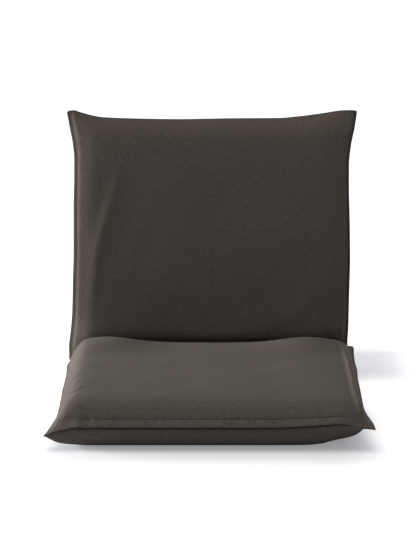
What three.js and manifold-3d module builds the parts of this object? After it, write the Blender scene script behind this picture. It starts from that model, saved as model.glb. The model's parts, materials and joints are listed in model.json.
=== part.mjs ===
// Folding floor chair: a padded seat half and a padded back half on two ratchet hinges.
// Millimetres, +Z up. The chair stands on z = 0 and faces -Y, and left is -X.
// Each half is drawn lying flat in its own frame: X across, Y from the hinge axis to its
// far seam, and Z towards the sitter. Nested groups then set the halves in place.
import * as THREE from "three";
import { mergeVertices } from "three/addons/utils/BufferGeometryUtils.js";
import Module from "manifold-3d";

const wasm = await Module();
wasm.setup();

// Whole chair
const axisHeight = 32;
const axisBehindCentre = 195;
const backAngleDegrees = 78;
const clearance = 0.3;
const cutOverrun = 2;

// Seat cushion, from the hinge axis to its front seam
const seatLength = 389;
const seatEarLength = 6;
const seatHalfWidth = 191;
const seatEarWidth = 12.5;
const seatHingeFlare = 3;
const seatTopHeight = 33;
const seatSeamDrop = 3;
const seatSeamDropRun = 60;
const seatTopRiseRun = 72;
const seatTopFallRun = 309;
const seatBaseFallRun = 27;

// Back cushion, from the hinge axis to its top seam
const backLength = 317;
const backEarLength = 11;
const backSideStep = 5;
const backHalfWidth = seatHalfWidth - backSideStep;
const backEarWidth = 9;
const backFrontHeight = 28;
const backRearHeight = 31.8;
const backFrontRiseRun = 70;
const backFrontFallRun = 235;
const backRearFallRun = 60;

// Shape of both cushions at the hinge
const hubRadius = 27;
const seatBevelDegrees = 25;
const backBevelDegrees = 22;
const rearBevelDegrees = 86;
const baseRiseRun = 10;
const humpHeight = 8;
const humpFromAxis = 90;
const humpFromCentre = 131;
const humpSpreadAcross = 50;
const humpSpreadToHinge = 31;
const humpSpreadToFront = 46;

// Cloth over the fold
const foldSideStep = 3;
const foldHalfWidth = backHalfWidth - foldSideStep;
const foldRimGap = 0.95;
const foldTuckDegrees = 5;
const foldSideGapDegrees = 1;
const foldHoleRadius = 3;

// Where the two hinges stand, inside the fold
const hingeSideStep = 37;
const hingeFromCentre = foldHalfWidth - hingeSideStep;

// Cloth, foam and the pocket that the frames lie in
const clothThickness = 1.2;
const foamSeamInset = 12;
const foamZipInset = 12;
const foamEdgeThickness = 0.5;
const foamFacetMargin = 0.8;
const foamHubRadius = 31;
const pocketSideMargin = 16;
const pocketHalfWidth = hingeFromCentre + pocketSideMargin;
const pocketEndMargin = 4;
const pocketCornerRadius = 40;

// Steel frames and webbing
const tubeRadius = 8;
const tubeWall = 1;
const tubeBendRadius = 45;
const seatFrameEndStep = 44;
const backFrameEndStep = 32;
const seatFrameReach = seatLength - seatFrameEndStep;
const backFrameReach = backLength - backFrameEndStep;
const crossBarRadius = 6;
const crossBarWall = 1;
const seatCrossBarAt = 92;
const backCrossBarAt = 76;
const strapWidth = 40;
const strapThickness = 1.5;
const seatFirstStrapAt = 130;
const backFirstStrapAt = 115;
const seatStrapSpacing = 60;
const backStrapSpacing = 50;
const strapCount = 3;

// Ratchet hinge
const caseThickness = 2;
const caseRadius = 21.5;
const caseLobeRadius = 8;
const caseArmHalfHeight = 3.8;
const caseArmReach = 76;
const gearThickness = 4;
const tripThickness = 2;
const gearTipRadius = 17;
const gearRootRadius = 15.7;
const gearFreeRadius = 15.1;
const gearLiftRadius = 17.6;
const tripDiscRadius = 13;
const tripLugRadius = 20;
const gearArmHalfHeight = 6.2;
const gearArmReach = 64;
const toothPitchDegrees = 6;
const toothFlankDegrees = 0.6;
const toothCount = 16;
const firstToothDegrees = 141;
const lifterFromDegrees = 62;
const lifterToDegrees = 84;
const tripLugFromDegrees = 173;
const tripLugToDegrees = 183;
const pivotRadius = 5;
const pivotHeadRadius = 7.5;
const headThickness = 1.2;

// Pawl, its pin, its spring and the case spacer
const pawlPinFromAxis = 26;
const pawlPinRadius = 2.5;
const pawlPinHeadRadius = 4.2;
const pawlBossRadius = 5;
const pawlTeeth = 3;
const pawlDepth = 4.5;
const pawlLiftDegrees = 6;
const pawlRadialGap = 0.55;
const pawlFlankGapDegrees = 1.07;
const pawlEdgeRadius = 18.3;
const pawlTailReach = 11.3;
const pawlTailHalfWidth = 1.6;
const pawlTailDegrees = 132.8;
const pawlTongueReach = 8;
const pawlTongueHalfWidth = 1.5;
const spacerFromAxis = 40;
const spacerRadius = 1.9;
const spacerHeadRadius = 3.2;
const springWireRadius = 0.6;
const springLoopRadius = 2.9;
const springLegLength = 8.8;

// Rivets through the tubes
const tubeRivetRadius = 2;
const tubeRivetHeadRadius = 3.6;
const caseRivetEndStep = 15;
const gearRivetEndStep = 14;
const seatRivetAt = caseArmReach - caseRivetEndStep;
const backRivetAt = gearArmReach - gearRivetEndStep;
const seatTubeEndStep = 15;
const backTubeEndStep = 20;
const seatTubeStart = seatRivetAt - seatTubeEndStep;
const backTubeStart = backRivetAt - backTubeEndStep;

// Zip and placket flap at the front of the seat
const zipSideStep = 41;
const zipHalfLength = seatHalfWidth - zipSideStep;
const zipWindowHalfWidth = 5.5;
const zipTapeWidth = 7.4;
const zipTapeThickness = 0.8;
const zipTapeDepth = 5.4;
const zipTapeSplit = 0.5;
const zipRiserDepth = 1.9;
const zipTapeOverrun = 8;
const zipCoilHalfWidth = 1.7;
const zipCoilHeight = 1.6;
const zipStopLength = 3;
const sliderLength = 9;
const sliderHalfWidth = 3.6;
const sliderPlateThickness = 0.8;
const sliderRailWidth = 1;
const bailLength = 4.4;
const bailWidth = 1.6;
const bailOpening = 1.6;
const bailWall = 0.6;
const pullLength = 20;
const pullWidth = 5.6;
const pullThickness = 0.8;
const pullEyeLength = 5.2;
const pullEyeWidth = 3;
const pullBarLength = 0.9;
const pullEndGap = 0.5;
const flapRootRise = 0.3;
const flapZipRise = 1.3;

const DEGREE = Math.PI / 180;
const clamp01 = (value) => Math.min(Math.max(value, 0), 1);
const polar = (radius, degrees) =>
  new THREE.Vector2(radius * Math.cos(degrees * DEGREE), radius * Math.sin(degrees * DEGREE));

// Materials
const material = (name, color, roughness, metalness) =>
  new THREE.MeshStandardMaterial({ name, color, roughness, metalness });
const cloth = material("cover_cloth", 0x524c46, 0.95, 0);
const foam = material("foam", 0xe6dcc0, 0.9, 0);
const webbing = material("webbing", 0x2e2c2b, 0.85, 0);
const tubeSteel = material("tube_steel", 0x2b2c2e, 0.45, 0.6);
const zincSteel = material("zinc_steel", 0xa9abac, 0.35, 1);
const springSteel = material("spring_steel", 0x7e8083, 0.3, 1);
const zipNylon = material("zip_nylon", 0x3b3734, 0.6, 0);
const zipMetal = material("zip_metal", 0x55504b, 0.35, 0.9);

// Solids: closed meshes go to manifold form for cuts and joins, and back
function toSolid(geometry) {
  const bare = geometry.clone();
  bare.deleteAttribute("normal");
  bare.deleteAttribute("uv");
  const merged = mergeVertices(bare);
  return new wasm.Manifold(new wasm.Mesh({
    numProp: 3,
    vertProperties: new Float32Array(merged.attributes.position.array),
    triVerts: new Uint32Array(merged.index.array),
  }));
}

function toGeometry(solid) {
  const mesh = solid.getMesh();
  const geometry = new THREE.BufferGeometry();
  geometry.setAttribute("position", new THREE.BufferAttribute(mesh.vertProperties, 3));
  geometry.setIndex(new THREE.BufferAttribute(mesh.triVerts, 1));
  geometry.computeVertexNormals();
  return geometry;
}

const join = (...parts) => toGeometry(parts.map(toSolid).reduce((sum, part) => sum.add(part)));
const cut = (body, ...tools) =>
  toGeometry(tools.map(toSolid).reduce((rest, tool) => rest.subtract(tool), toSolid(body)));

// A plate drawn in a half's Y-Z plane and extruded across, between two distances from X = 0
function plate(shape, from, to, curveSegments = 6) {
  const geometry = new THREE.ExtrudeGeometry(shape, {
    depth: Math.abs(to - from), bevelEnabled: false, curveSegments,
  });
  geometry.applyMatrix4(new THREE.Matrix4().makeBasis(
    new THREE.Vector3(0, 1, 0), new THREE.Vector3(0, 0, 1), new THREE.Vector3(1, 0, 0)));
  return geometry.translate(Math.min(from, to), 0, 0);
}

function circle(radius, x = 0, y = 0) {
  return new THREE.Shape().absarc(x, y, radius, 0, 2 * Math.PI, false);
}

function withHoles(shape, ...holes) {
  shape.holes.push(...holes);
  return shape;
}

function sector(innerRadius, outerRadius, fromDegrees, toDegrees) {
  const shape = new THREE.Shape();
  shape.absarc(0, 0, outerRadius, fromDegrees * DEGREE, toDegrees * DEGREE, false);
  if (innerRadius > 0) {
    shape.absarc(0, 0, innerRadius, toDegrees * DEGREE, fromDegrees * DEGREE, true);
  } else {
    shape.lineTo(0, 0);
  }
  return shape;
}

// A rivet along X: a shaft between two flat heads, centred on X = 0
function rivet(gripLength, shaftRadius, headRadius) {
  const grip = gripLength / 2;
  const end = grip + headThickness;
  const profile = [
    [0, -end], [headRadius, -end], [headRadius, -grip], [shaftRadius, -grip],
    [shaftRadius, grip], [headRadius, grip], [headRadius, end], [0, end],
  ].map(([radius, height]) => new THREE.Vector2(radius, height));
  return new THREE.LatheGeometry(profile, 12).rotateZ(-Math.PI / 2);
}

// A curve whose stations are exactly the given points, so bends cost few facets
class StationCurve extends THREE.Curve {
  constructor(points) {
    super();
    this.points = points;
  }

  getPointAt(share) {
    return this.points[Math.round(share * (this.points.length - 1))].clone();
  }

  getTangentAt(share) {
    const index = Math.round(share * (this.points.length - 1));
    const before = this.points[Math.max(index - 1, 0)];
    const after = this.points[Math.min(index + 1, this.points.length - 1)];
    return after.clone().sub(before).normalize();
  }

  getPoint(share) {
    return this.getPointAt(share);
  }

  getTangent(share) {
    return this.getTangentAt(share);
  }
}

function sweep(section, points, curveSegments) {
  return new THREE.ExtrudeGeometry(section, {
    steps: points.length - 1, extrudePath: new StationCurve(points), curveSegments,
  });
}

const tubeSection = (radius, wall) => withHoles(circle(radius), circle(radius - wall));

// Cushions
// A cushion half has a seam all round, and one face above the seam and one below it.
const seatCushion = {
  length: seatLength, earLength: seatEarLength, halfWidth: seatHalfWidth,
  earWidth: seatEarWidth, hingeFlare: seatHingeFlare,
  seamDrop: seatSeamDrop, seamDropRun: seatSeamDropRun, zipInset: foamZipInset,
};
const backCushion = {
  length: backLength, earLength: backEarLength, halfWidth: backHalfWidth,
  earWidth: backEarWidth, hingeFlare: 0, seamDrop: 0, seamDropRun: seatSeamDropRun,
  zipInset: 0,
};
const bevelStart = (degrees) => hubRadius * Math.sin(degrees * DEGREE) - clearance / 2;
const seatEdgeShares = { flat: 0, power: 14, round: 0.9 };
const backEdgeShares = { flat: 0, power: 10, round: 0.8 };
const flatEdgeShares = { flat: 0.8, power: 2, round: 0.5 };
const seatTop = {
  side: 1, height: seatTopHeight, hump: humpHeight, edge: seatEdgeShares,
  start: bevelStart(seatBevelDegrees), riseRun: seatTopRiseRun,
  rise: (share) => Math.sin(share * Math.PI / 2), fallRun: seatTopFallRun,
  fallShares: { slope: 0.22, power: 18, round: 1.6 },
};
const seatBase = {
  side: -1, height: axisHeight - clearance / 2, hump: 0, edge: flatEdgeShares,
  start: bevelStart(rearBevelDegrees), riseRun: baseRiseRun,
  rise: (share) => 1 - (1 - share) ** 2, fallRun: seatBaseFallRun,
  fallShares: { slope: 0, power: 1.5, round: 0.65 },
};
const backFront = {
  side: 1, height: backFrontHeight, hump: 0, edge: backEdgeShares,
  start: bevelStart(backBevelDegrees), riseRun: backFrontRiseRun,
  rise: (share) => Math.sin(share * Math.PI / 2), fallRun: backFrontFallRun,
  fallShares: { slope: 0.12, power: 6, round: 0.9 },
};
const backRear = {
  side: -1, height: backRearHeight, hump: 0, edge: flatEdgeShares,
  start: bevelStart(rearBevelDegrees), riseRun: baseRiseRun,
  rise: (share) => 1 - (1 - share) ** 2, fallRun: backRearFallRun,
  fallShares: { slope: 0, power: 2, round: 0.6 },
};

const alongShares = [
  0, 0.012, 0.035, 0.08, 0.15, 0.24, 0.36, 0.5, 0.64, 0.77, 0.87, 0.93, 0.955, 0.972, 0.985,
  0.994, 1,
];
const stationsAcross = (steps) => Array.from({ length: 2 * steps + 1 }, (_, index) =>
  Math.sin((index / steps - 1) * Math.PI / 2));
const acrossShares = stationsAcross(7);
const foamAlongShares = alongShares.filter((_, index) => index % 2 === 0);
const foamAcrossShares = stationsAcross(4);

function seamHeight(cushion, y) {
  const share = clamp01((y - cushion.length + cushion.seamDropRun) / cushion.seamDropRun);
  return -cushion.seamDrop * share ** 2;
}

// One point of a cushion face. skinInset draws the face in through its thickness, and
// edgeInset draws in its seams.
function cushionPoint(cushion, face, across, along, skinInset, edgeInset) {
  const away = Math.abs(across);
  const edgeShare = clamp01((away - face.edge.flat) / (1 - face.edge.flat));
  const edge = (1 - edgeShare ** face.edge.power) ** face.edge.round;
  const height = face.height - skinInset;
  const start = (clearance / 2) + edge * height * face.start / face.height;
  const startY = Math.sqrt(hubRadius ** 2 - start ** 2);
  const endY = cushion.length + cushion.earLength * away ** 8 - edgeInset;
  const y = startY + (endY - startY) * along;
  const halfWidth = cushion.halfWidth + cushion.earWidth * along ** 14
    + cushion.hingeFlare * (1 - along) ** 6 - edgeInset;
  const riseShare = clamp01((y - startY) / face.riseRun);
  const startShare = face.start / face.height;
  const rise = startShare + (1 - startShare) * face.rise(riseShare);
  const fallShare = clamp01((y - endY + face.fallRun) / face.fallRun);
  const fall = (1 - face.fallShares.slope * fallShare)
    * (1 - fallShare ** face.fallShares.power) ** face.fallShares.round;
  const x = across * halfWidth;
  const humpAcross = Math.exp(-(((Math.abs(x) - humpFromCentre) / humpSpreadAcross) ** 2));
  const spreadAlong = y < humpFromAxis ? humpSpreadToHinge : humpSpreadToFront;
  const humpAlong = Math.exp(-(((y - humpFromAxis) / spreadAlong) ** 2));
  const hump = face.hump * humpAcross * humpAlong * edge;
  const full = edge * rise * fall;
  const seam = seamHeight(cushion, y) * (1 - full);
  const z = seam + face.side * (clearance / 2 + full * height + hump);
  return new THREE.Vector3(x, y, z);
}

// A closed solid between two grids of points of the same size, outer first
function gridSolid(outer, inner, side) {
  const rows = outer.length;
  const columns = outer[0].length;
  const points = [...outer.flat(), ...inner.flat()];
  const triangles = [];
  const at = (layer, row, column) => layer * rows * columns + row * columns + column;
  const quad = (a, b, c, d) => {
    const corners = side > 0 ? [a, b, c, a, c, d] : [a, c, b, a, d, c];
    triangles.push(...corners);
  };
  for (let row = 0; row < rows - 1; row += 1) {
    for (let column = 0; column < columns - 1; column += 1) {
      quad(at(0, row, column), at(0, row, column + 1), at(0, row + 1, column + 1),
        at(0, row + 1, column));
      quad(at(1, row, column), at(1, row + 1, column), at(1, row + 1, column + 1),
        at(1, row, column + 1));
    }
  }
  for (let row = 0; row < rows - 1; row += 1) {
    const last = columns - 1;
    quad(at(0, row, 0), at(0, row + 1, 0), at(1, row + 1, 0), at(1, row, 0));
    quad(at(0, row, last), at(1, row, last), at(1, row + 1, last), at(0, row + 1, last));
  }
  for (let column = 0; column < columns - 1; column += 1) {
    const last = rows - 1;
    quad(at(0, 0, column), at(1, 0, column), at(1, 0, column + 1), at(0, 0, column + 1));
    quad(at(0, last, column), at(0, last, column + 1), at(1, last, column + 1),
      at(1, last, column));
  }
  const geometry = new THREE.BufferGeometry().setFromPoints(points);
  geometry.setIndex(triangles);
  geometry.computeVertexNormals();
  return geometry;
}

function coverPanel(cushion, face) {
  const grid = (inset) => alongShares.map((along) =>
    acrossShares.map((across) => cushionPoint(cushion, face, across, along, inset, inset)));
  return gridSolid(grid(0), grid(clothThickness), face.side);
}

function framePocket(reach) {
  const farEnd = reach + tubeRadius + pocketEndMargin;
  const half = tubeRadius + 2 * clearance + strapThickness;
  const round = pocketCornerRadius;
  const shape = new THREE.Shape();
  shape.moveTo(-pocketHalfWidth, 0);
  shape.lineTo(pocketHalfWidth, 0);
  shape.absarc(pocketHalfWidth - round, farEnd - round, round, 0, Math.PI / 2, false);
  shape.absarc(round - pocketHalfWidth, farEnd - round, round, Math.PI / 2, Math.PI, false);
  return new THREE.ExtrudeGeometry(shape, { depth: 2 * half, bevelEnabled: false, curveSegments: 3 })
    .translate(0, 0, -half);
}

function foamPad(cushion, face, frameReach) {
  const skin = clothThickness + clearance + foamEdgeThickness + foamFacetMargin;
  const inner = { ...cushion, length: cushion.length - cushion.zipInset };
  const plain = { ...face, hump: 0 };
  const faceGrid = foamAlongShares.map((along) => foamAcrossShares.map((across) => {
    const point = cushionPoint(inner, plain, across, along, skin, foamSeamInset);
    point.z += face.side * foamEdgeThickness;
    return point;
  }));
  const seamGrid = faceGrid.map((row) => row.map((point) =>
    new THREE.Vector3(point.x, point.y, seamHeight(inner, point.y) + face.side * clearance / 2)));
  const hub = plate(circle(foamHubRadius), -seatHalfWidth - foamSeamInset,
    seatHalfWidth + foamSeamInset);
  return cut(gridSolid(faceGrid, seamGrid, face.side), framePocket(frameReach), hub);
}

// Frames and webbing
function framePoints(halfWidth, start, reach) {
  const bend = tubeBendRadius;
  const bendSteps = 5;
  const corner = (centreX, fromDegrees) => Array.from({ length: bendSteps + 1 }, (_, step) => {
    const place = polar(bend, fromDegrees + step * 90 / bendSteps);
    return new THREE.Vector3(centreX + place.x, reach - bend + place.y, 0);
  });
  return [
    new THREE.Vector3(halfWidth, start, 0),
    ...corner(halfWidth - bend, 0),
    ...corner(bend - halfWidth, 90),
    new THREE.Vector3(-halfWidth, start, 0),
  ];
}

// A round bore along X through both side tubes, with some length to spare
function crossBore(radius, halfWidth, y) {
  const reach = halfWidth + tubeRadius + cutOverrun;
  return plate(circle(radius, y, 0), -reach, reach, 6);
}

function frameTube(halfWidth, start, reach, rivetAt) {
  const tube = sweep(tubeSection(tubeRadius, tubeWall), framePoints(halfWidth, start, reach), 6);
  return cut(tube, crossBore(tubeRivetRadius + clearance, halfWidth, rivetAt));
}

function crossBar(halfWidth, y) {
  const section = withHoles(circle(crossBarRadius, y, 0),
    circle(crossBarRadius - crossBarWall, y, 0));
  const bar = plate(section, -halfWidth, halfWidth, 6);
  const reach = tubeRadius + crossBarRadius;
  const cope = (x) => new THREE.CylinderGeometry(tubeRadius + clearance, tubeRadius + clearance,
    2 * reach, 20).translate(x, y, 0);
  return cut(bar, cope(halfWidth), cope(-halfWidth));
}

function strapLoop(halfWidth, y) {
  const inner = tubeRadius + clearance;
  const loop = (radius) => {
    const path = new THREE.Shape();
    path.absarc(halfWidth, 0, radius, -Math.PI / 2, Math.PI / 2, false);
    path.absarc(-halfWidth, 0, radius, Math.PI / 2, Math.PI * 3 / 2, false);
    return path;
  };
  return new THREE.ExtrudeGeometry(withHoles(loop(inner + strapThickness), loop(inner)), {
    depth: strapWidth, bevelEnabled: false, curveSegments: 4,
  }).rotateX(Math.PI / 2).translate(0, y + strapWidth / 2, 0);
}

// Ratchet hinge, drawn for the side whose outer face looks along +X when side is 1
const stackHalf = (2 * caseThickness + gearThickness + tripThickness + 2 * clearance) / 2;
const gearFrom = -stackHalf + caseThickness + clearance;
const gearTo = gearFrom + gearThickness;
const tripTo = gearTo + tripThickness;
const gearMiddle = (gearFrom + gearTo) / 2;
const backTubeFromCentre = hingeFromCentre + gearMiddle;
const stackPlate = (shape, from, to, side, curveSegments) =>
  plate(shape, side * (hingeFromCentre + from), side * (hingeFromCentre + to), curveSegments);
const bore = (radius, y = 0) => circle(radius + clearance, y, 0);

function casePlate(from, side) {
  const neck = Math.asin(caseLobeRadius / caseRadius);
  const armTurn = Math.asin(caseArmHalfHeight / caseLobeRadius);
  const shape = new THREE.Shape();
  shape.absarc(0, 0, caseRadius, neck, 2 * Math.PI - neck, false);
  shape.absarc(pawlPinFromAxis, 0, caseLobeRadius, -Math.PI / 2, -armTurn, false);
  shape.lineTo(caseArmReach, -caseArmHalfHeight);
  shape.lineTo(caseArmReach, caseArmHalfHeight);
  shape.absarc(pawlPinFromAxis, 0, caseLobeRadius, armTurn, Math.PI / 2, false);
  withHoles(shape, bore(pivotRadius), bore(pawlPinRadius, pawlPinFromAxis),
    bore(spacerRadius, spacerFromAxis), bore(tubeRivetRadius, seatRivetAt));
  return stackPlate(shape, from, from + caseThickness, side);
}

function gearArm(side) {
  const lastToothDegrees = firstToothDegrees + toothCount * toothPitchDegrees;
  const armDegrees = Math.asin(gearArmHalfHeight / gearFreeRadius) / DEGREE;
  const outline = [
    new THREE.Vector2(gearArmReach, -gearArmHalfHeight),
    new THREE.Vector2(gearArmReach, gearArmHalfHeight),
  ];
  const arc = (radius, from, to, steps) => {
    for (let step = 0; step <= steps; step += 1) {
      outline.push(polar(radius, from + (to - from) * step / steps));
    }
  };
  arc(gearFreeRadius, armDegrees, lifterFromDegrees - toothPitchDegrees, 3);
  arc(gearLiftRadius, lifterFromDegrees, lifterToDegrees, 3);
  arc(gearFreeRadius, lifterToDegrees + toothFlankDegrees,
    firstToothDegrees - toothFlankDegrees, 6);
  for (let tooth = 0; tooth < toothCount; tooth += 1) {
    const from = firstToothDegrees + tooth * toothPitchDegrees;
    outline.push(polar(gearRootRadius, from), polar(gearTipRadius, from + toothFlankDegrees));
  }
  arc(gearFreeRadius, lastToothDegrees, 360 - armDegrees, 8);
  const gear = withHoles(new THREE.Shape(outline), bore(pivotRadius),
    bore(tubeRivetRadius, backRivetAt));
  const lug = sector(tripDiscRadius - cutOverrun, tripLugRadius, tripLugFromDegrees, tripLugToDegrees);
  const overlap = gearThickness / 2;
  return join(
    stackPlate(gear, gearFrom, gearTo, side),
    stackPlate(withHoles(circle(tripDiscRadius), bore(pivotRadius)), gearTo - overlap, tripTo, side),
    stackPlate(lug, gearTo + clearance, tripTo, side, 2));
}

// The pawl is drawn engaged in the seat half's Y-Z plane, then swung off the gear by its lift.
// A gear angle is seen from the seat half at 180 degrees less the back's angle less itself.
function pawl(side) {
  const seen = (radius, gearDegrees) => polar(radius, 180 - backAngleDegrees - gearDegrees);
  const onBoss = (degrees) => polar(pawlBossRadius, degrees)
    .add(new THREE.Vector2(pawlPinFromAxis, 0));
  const first = firstToothDegrees - pawlFlankGapDegrees;
  const last = first + pawlTeeth * toothPitchDegrees;
  const root = gearRootRadius + pawlRadialGap;
  const tip = gearTipRadius + pawlRadialGap;
  const strut = [onBoss(-60), onBoss(0), onBoss(60), onBoss(120), onBoss(180), onBoss(217)];
  strut.push(seen(pawlEdgeRadius, first - toothFlankDegrees));
  for (let tooth = 0; tooth < pawlTeeth; tooth += 1) {
    const from = first + tooth * toothPitchDegrees;
    strut.push(seen(root, from), seen(tip, from + toothFlankDegrees));
  }
  strut.push(seen(root, last), seen(tip + pawlDepth, last));
  strut.push(seen(tip + pawlDepth, first + toothPitchDegrees));
  const boss = circle(pawlBossRadius, pawlPinFromAxis, 0);
  const alongTail = polar(1, pawlTailDegrees);
  const acrossTail = polar(1, pawlTailDegrees + 90);
  const pinCentre = new THREE.Vector2(pawlPinFromAxis, 0);
  const tailPoint = (reach, offset) => pinCentre.clone()
    .addScaledVector(alongTail, reach).addScaledVector(acrossTail, offset);
  const tail = new THREE.Shape([
    tailPoint(0, -pawlTailHalfWidth), tailPoint(pawlTailReach, -pawlTailHalfWidth),
    tailPoint(pawlTailReach, pawlTailHalfWidth), tailPoint(0, pawlTailHalfWidth),
  ]);
  const tongueDegrees = -pawlLiftDegrees / 2;
  const tonguePoint = (reach, offset) => pinCentre.clone()
    .addScaledVector(polar(1, tongueDegrees), reach)
    .addScaledVector(polar(1, tongueDegrees + 90), offset);
  const tongue = new THREE.Shape([
    tonguePoint(0, -pawlTongueHalfWidth), tonguePoint(pawlTongueReach, -pawlTongueHalfWidth),
    tonguePoint(pawlTongueReach, pawlTongueHalfWidth), tonguePoint(0, pawlTongueHalfWidth),
  ]);
  const body = join(
    stackPlate(new THREE.Shape(strut), gearFrom, gearTo, side),
    stackPlate(boss, gearFrom, tripTo, side),
    stackPlate(tail, gearTo + clearance, tripTo, side),
    stackPlate(tongue, gearTo + clearance, tripTo, side));
  const pinHole = stackPlate(bore(pawlPinRadius, pawlPinFromAxis), gearFrom - cutOverrun,
    tripTo + cutOverrun, side);
  return cut(body, pinHole)
    .translate(0, -pawlPinFromAxis, 0)
    .rotateX(pawlLiftDegrees * DEGREE)
    .translate(0, pawlPinFromAxis, 0);
}

function pawlSpring(side) {
  const middle = side * (hingeFromCentre + (gearTo + tripTo) / 2);
  const loopSteps = 6;
  const loop = Array.from({ length: loopSteps + 1 }, (_, step) => {
    const place = polar(springLoopRadius, 90 - step * 180 / loopSteps);
    return new THREE.Vector3(middle, spacerFromAxis + place.x, place.y);
  });
  const legEnd = spacerFromAxis - springLegLength;
  const points = [
    new THREE.Vector3(middle, legEnd, springLoopRadius), ...loop,
    new THREE.Vector3(middle, legEnd, -springLoopRadius),
  ];
  return sweep(circle(springWireRadius), points, 4);
}

// Zip frame: the straight front slope of the seat top, which the zip and flap lie along
const zipAlongShares = { root: 0.93, upper: 0.955, middle: 0.972, lower: 0.985 };
const slopeAt = (share) => cushionPoint(seatCushion, seatTop, 0, share, 0, 0);
const zipUpper = slopeAt(zipAlongShares.upper);
const zipLower = slopeAt(zipAlongShares.lower);
const zipOrigin = slopeAt(zipAlongShares.middle);
const slopeAngle = Math.atan2(zipLower.z - zipUpper.z, zipLower.y - zipUpper.y);
const slopeNormal = new THREE.Vector3(0, -Math.sin(slopeAngle), Math.cos(slopeAngle));

// A box in the zip frame: X across, Y down the slope and Z out of the cloth
function slopeBox(fromX, toX, fromY, toY, fromZ, toZ) {
  return new THREE.BoxGeometry(toX - fromX, toY - fromY, toZ - fromZ)
    .translate((fromX + toX) / 2, (fromY + toY) / 2, (fromZ + toZ) / 2);
}

const onSlope = (geometry) => geometry.rotateX(slopeAngle).translate(0, zipOrigin.y, zipOrigin.z);

const tapeTop = -zipTapeDepth;
const coilBottom = tapeTop + clearance;
const coilTop = coilBottom + zipCoilHeight;
const sliderUnder = coilTop + clearance;
const sliderTop = sliderUnder + sliderPlateThickness;
const pullUnder = sliderTop + clearance;
const bailTop = sliderTop + bailOpening + bailWall;

const sliderRest = zipHalfLength - zipStopLength - sliderLength / 2 - clearance;

// The window in the cover is long enough for the pull to lie in at both ends of its run
function seatTopCover() {
  const reach = sliderRest + pullLength + pullEndGap;
  const window = onSlope(slopeBox(-reach, reach, -zipWindowHalfWidth, zipWindowHalfWidth,
    -zipTapeDepth, zipTapeDepth));
  return cut(coverPanel(seatCushion, seatTop), window);
}

// Each tape lies flat by the coil, and its far edge turns up to the cloth it is sewn to
function zipTape(towards) {
  const reach = zipHalfLength + zipTapeOverrun;
  const near = towards * zipTapeSplit;
  const far = towards * (zipTapeSplit + zipTapeWidth);
  const fold = far - towards * zipTapeThickness;
  const floor = tapeTop - zipTapeThickness;
  return onSlope(join(
    slopeBox(-reach, reach, Math.min(near, far), Math.max(near, far), floor, tapeTop),
    slopeBox(-reach, reach, Math.min(fold, far), Math.max(fold, far), floor, -zipRiserDepth)));
}

function zipCoil() {
  const half = zipCoilHalfWidth;
  const shape = new THREE.Shape();
  shape.moveTo(-half, coilBottom);
  shape.lineTo(half, coilBottom);
  shape.lineTo(half, coilBottom + zipCoilHeight / 2);
  shape.absellipse(0, coilBottom + zipCoilHeight / 2, half, zipCoilHeight / 2, 0, Math.PI, false);
  const reach = zipHalfLength - zipStopLength - clearance;
  return onSlope(plate(shape, -reach, reach, 4));
}

function zipStop(towards) {
  const near = towards * (zipHalfLength - zipStopLength);
  const far = towards * zipHalfLength;
  return onSlope(slopeBox(Math.min(near, far), Math.max(near, far), -zipCoilHalfWidth,
    zipCoilHalfWidth, coilBottom, coilTop));
}

// The slider is a channel over the coil with a bail on top, drawn centred on X = 0
function zipSlider() {
  const half = sliderLength / 2;
  const railInside = sliderHalfWidth - sliderRailWidth;
  const bailHalf = bailLength / 2;
  const bailSide = bailWidth / 2;
  const overlap = sliderPlateThickness / 2;
  const postHeight = bailTop;
  return onSlope(join(
    slopeBox(-half, half, -sliderHalfWidth, sliderHalfWidth, sliderUnder, sliderTop),
    slopeBox(-half, half, -sliderHalfWidth, -railInside, tapeTop + clearance, sliderTop - overlap),
    slopeBox(-half, half, railInside, sliderHalfWidth, tapeTop + clearance, sliderTop - overlap),
    slopeBox(-bailHalf, bailWall - bailHalf, -bailSide, bailSide, sliderTop - overlap, postHeight),
    slopeBox(bailHalf - bailWall, bailHalf, -bailSide, bailSide, sliderTop - overlap, postHeight),
    slopeBox(-bailHalf, bailHalf, -bailSide, bailSide, bailTop - bailWall, bailTop)));
}

// The pull hangs by the bar of its eye, and lies along the coil away from the end stop
function zipPull() {
  const bar = pullBarLength / 2;
  const eyeEnd = bar + pullEyeLength;
  const half = pullWidth / 2;
  const top = pullUnder + pullThickness;
  const body = slopeBox(-bar, pullLength - bar, -half, half, pullUnder, top);
  const eye = slopeBox(bar, eyeEnd, -pullEyeWidth / 2, pullEyeWidth / 2,
    pullUnder - cutOverrun, top + cutOverrun);
  return onSlope(cut(body, eye).scale(-1, -1, 1));
}

// The flap starts on the cloth behind the zip, rises over the slider and ends at the seam
function placketFlap() {
  const shares = acrossShares.slice(1, -1);
  const flapAlongShares = alongShares.slice(alongShares.indexOf(zipAlongShares.root));
  const lift = (across, along) => (along > zipAlongShares.root
    ? flapRootRise + (flapZipRise - flapRootRise) * (1 - across ** 8) : flapRootRise);
  const grid = (extra) => flapAlongShares.map((along) => shares.map((across) =>
    cushionPoint(seatCushion, seatTop, across, along, 0, 0)
      .addScaledVector(slopeNormal, lift(across, along) + extra)));
  return gridSolid(grid(clothThickness), grid(0), 1);
}

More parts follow.
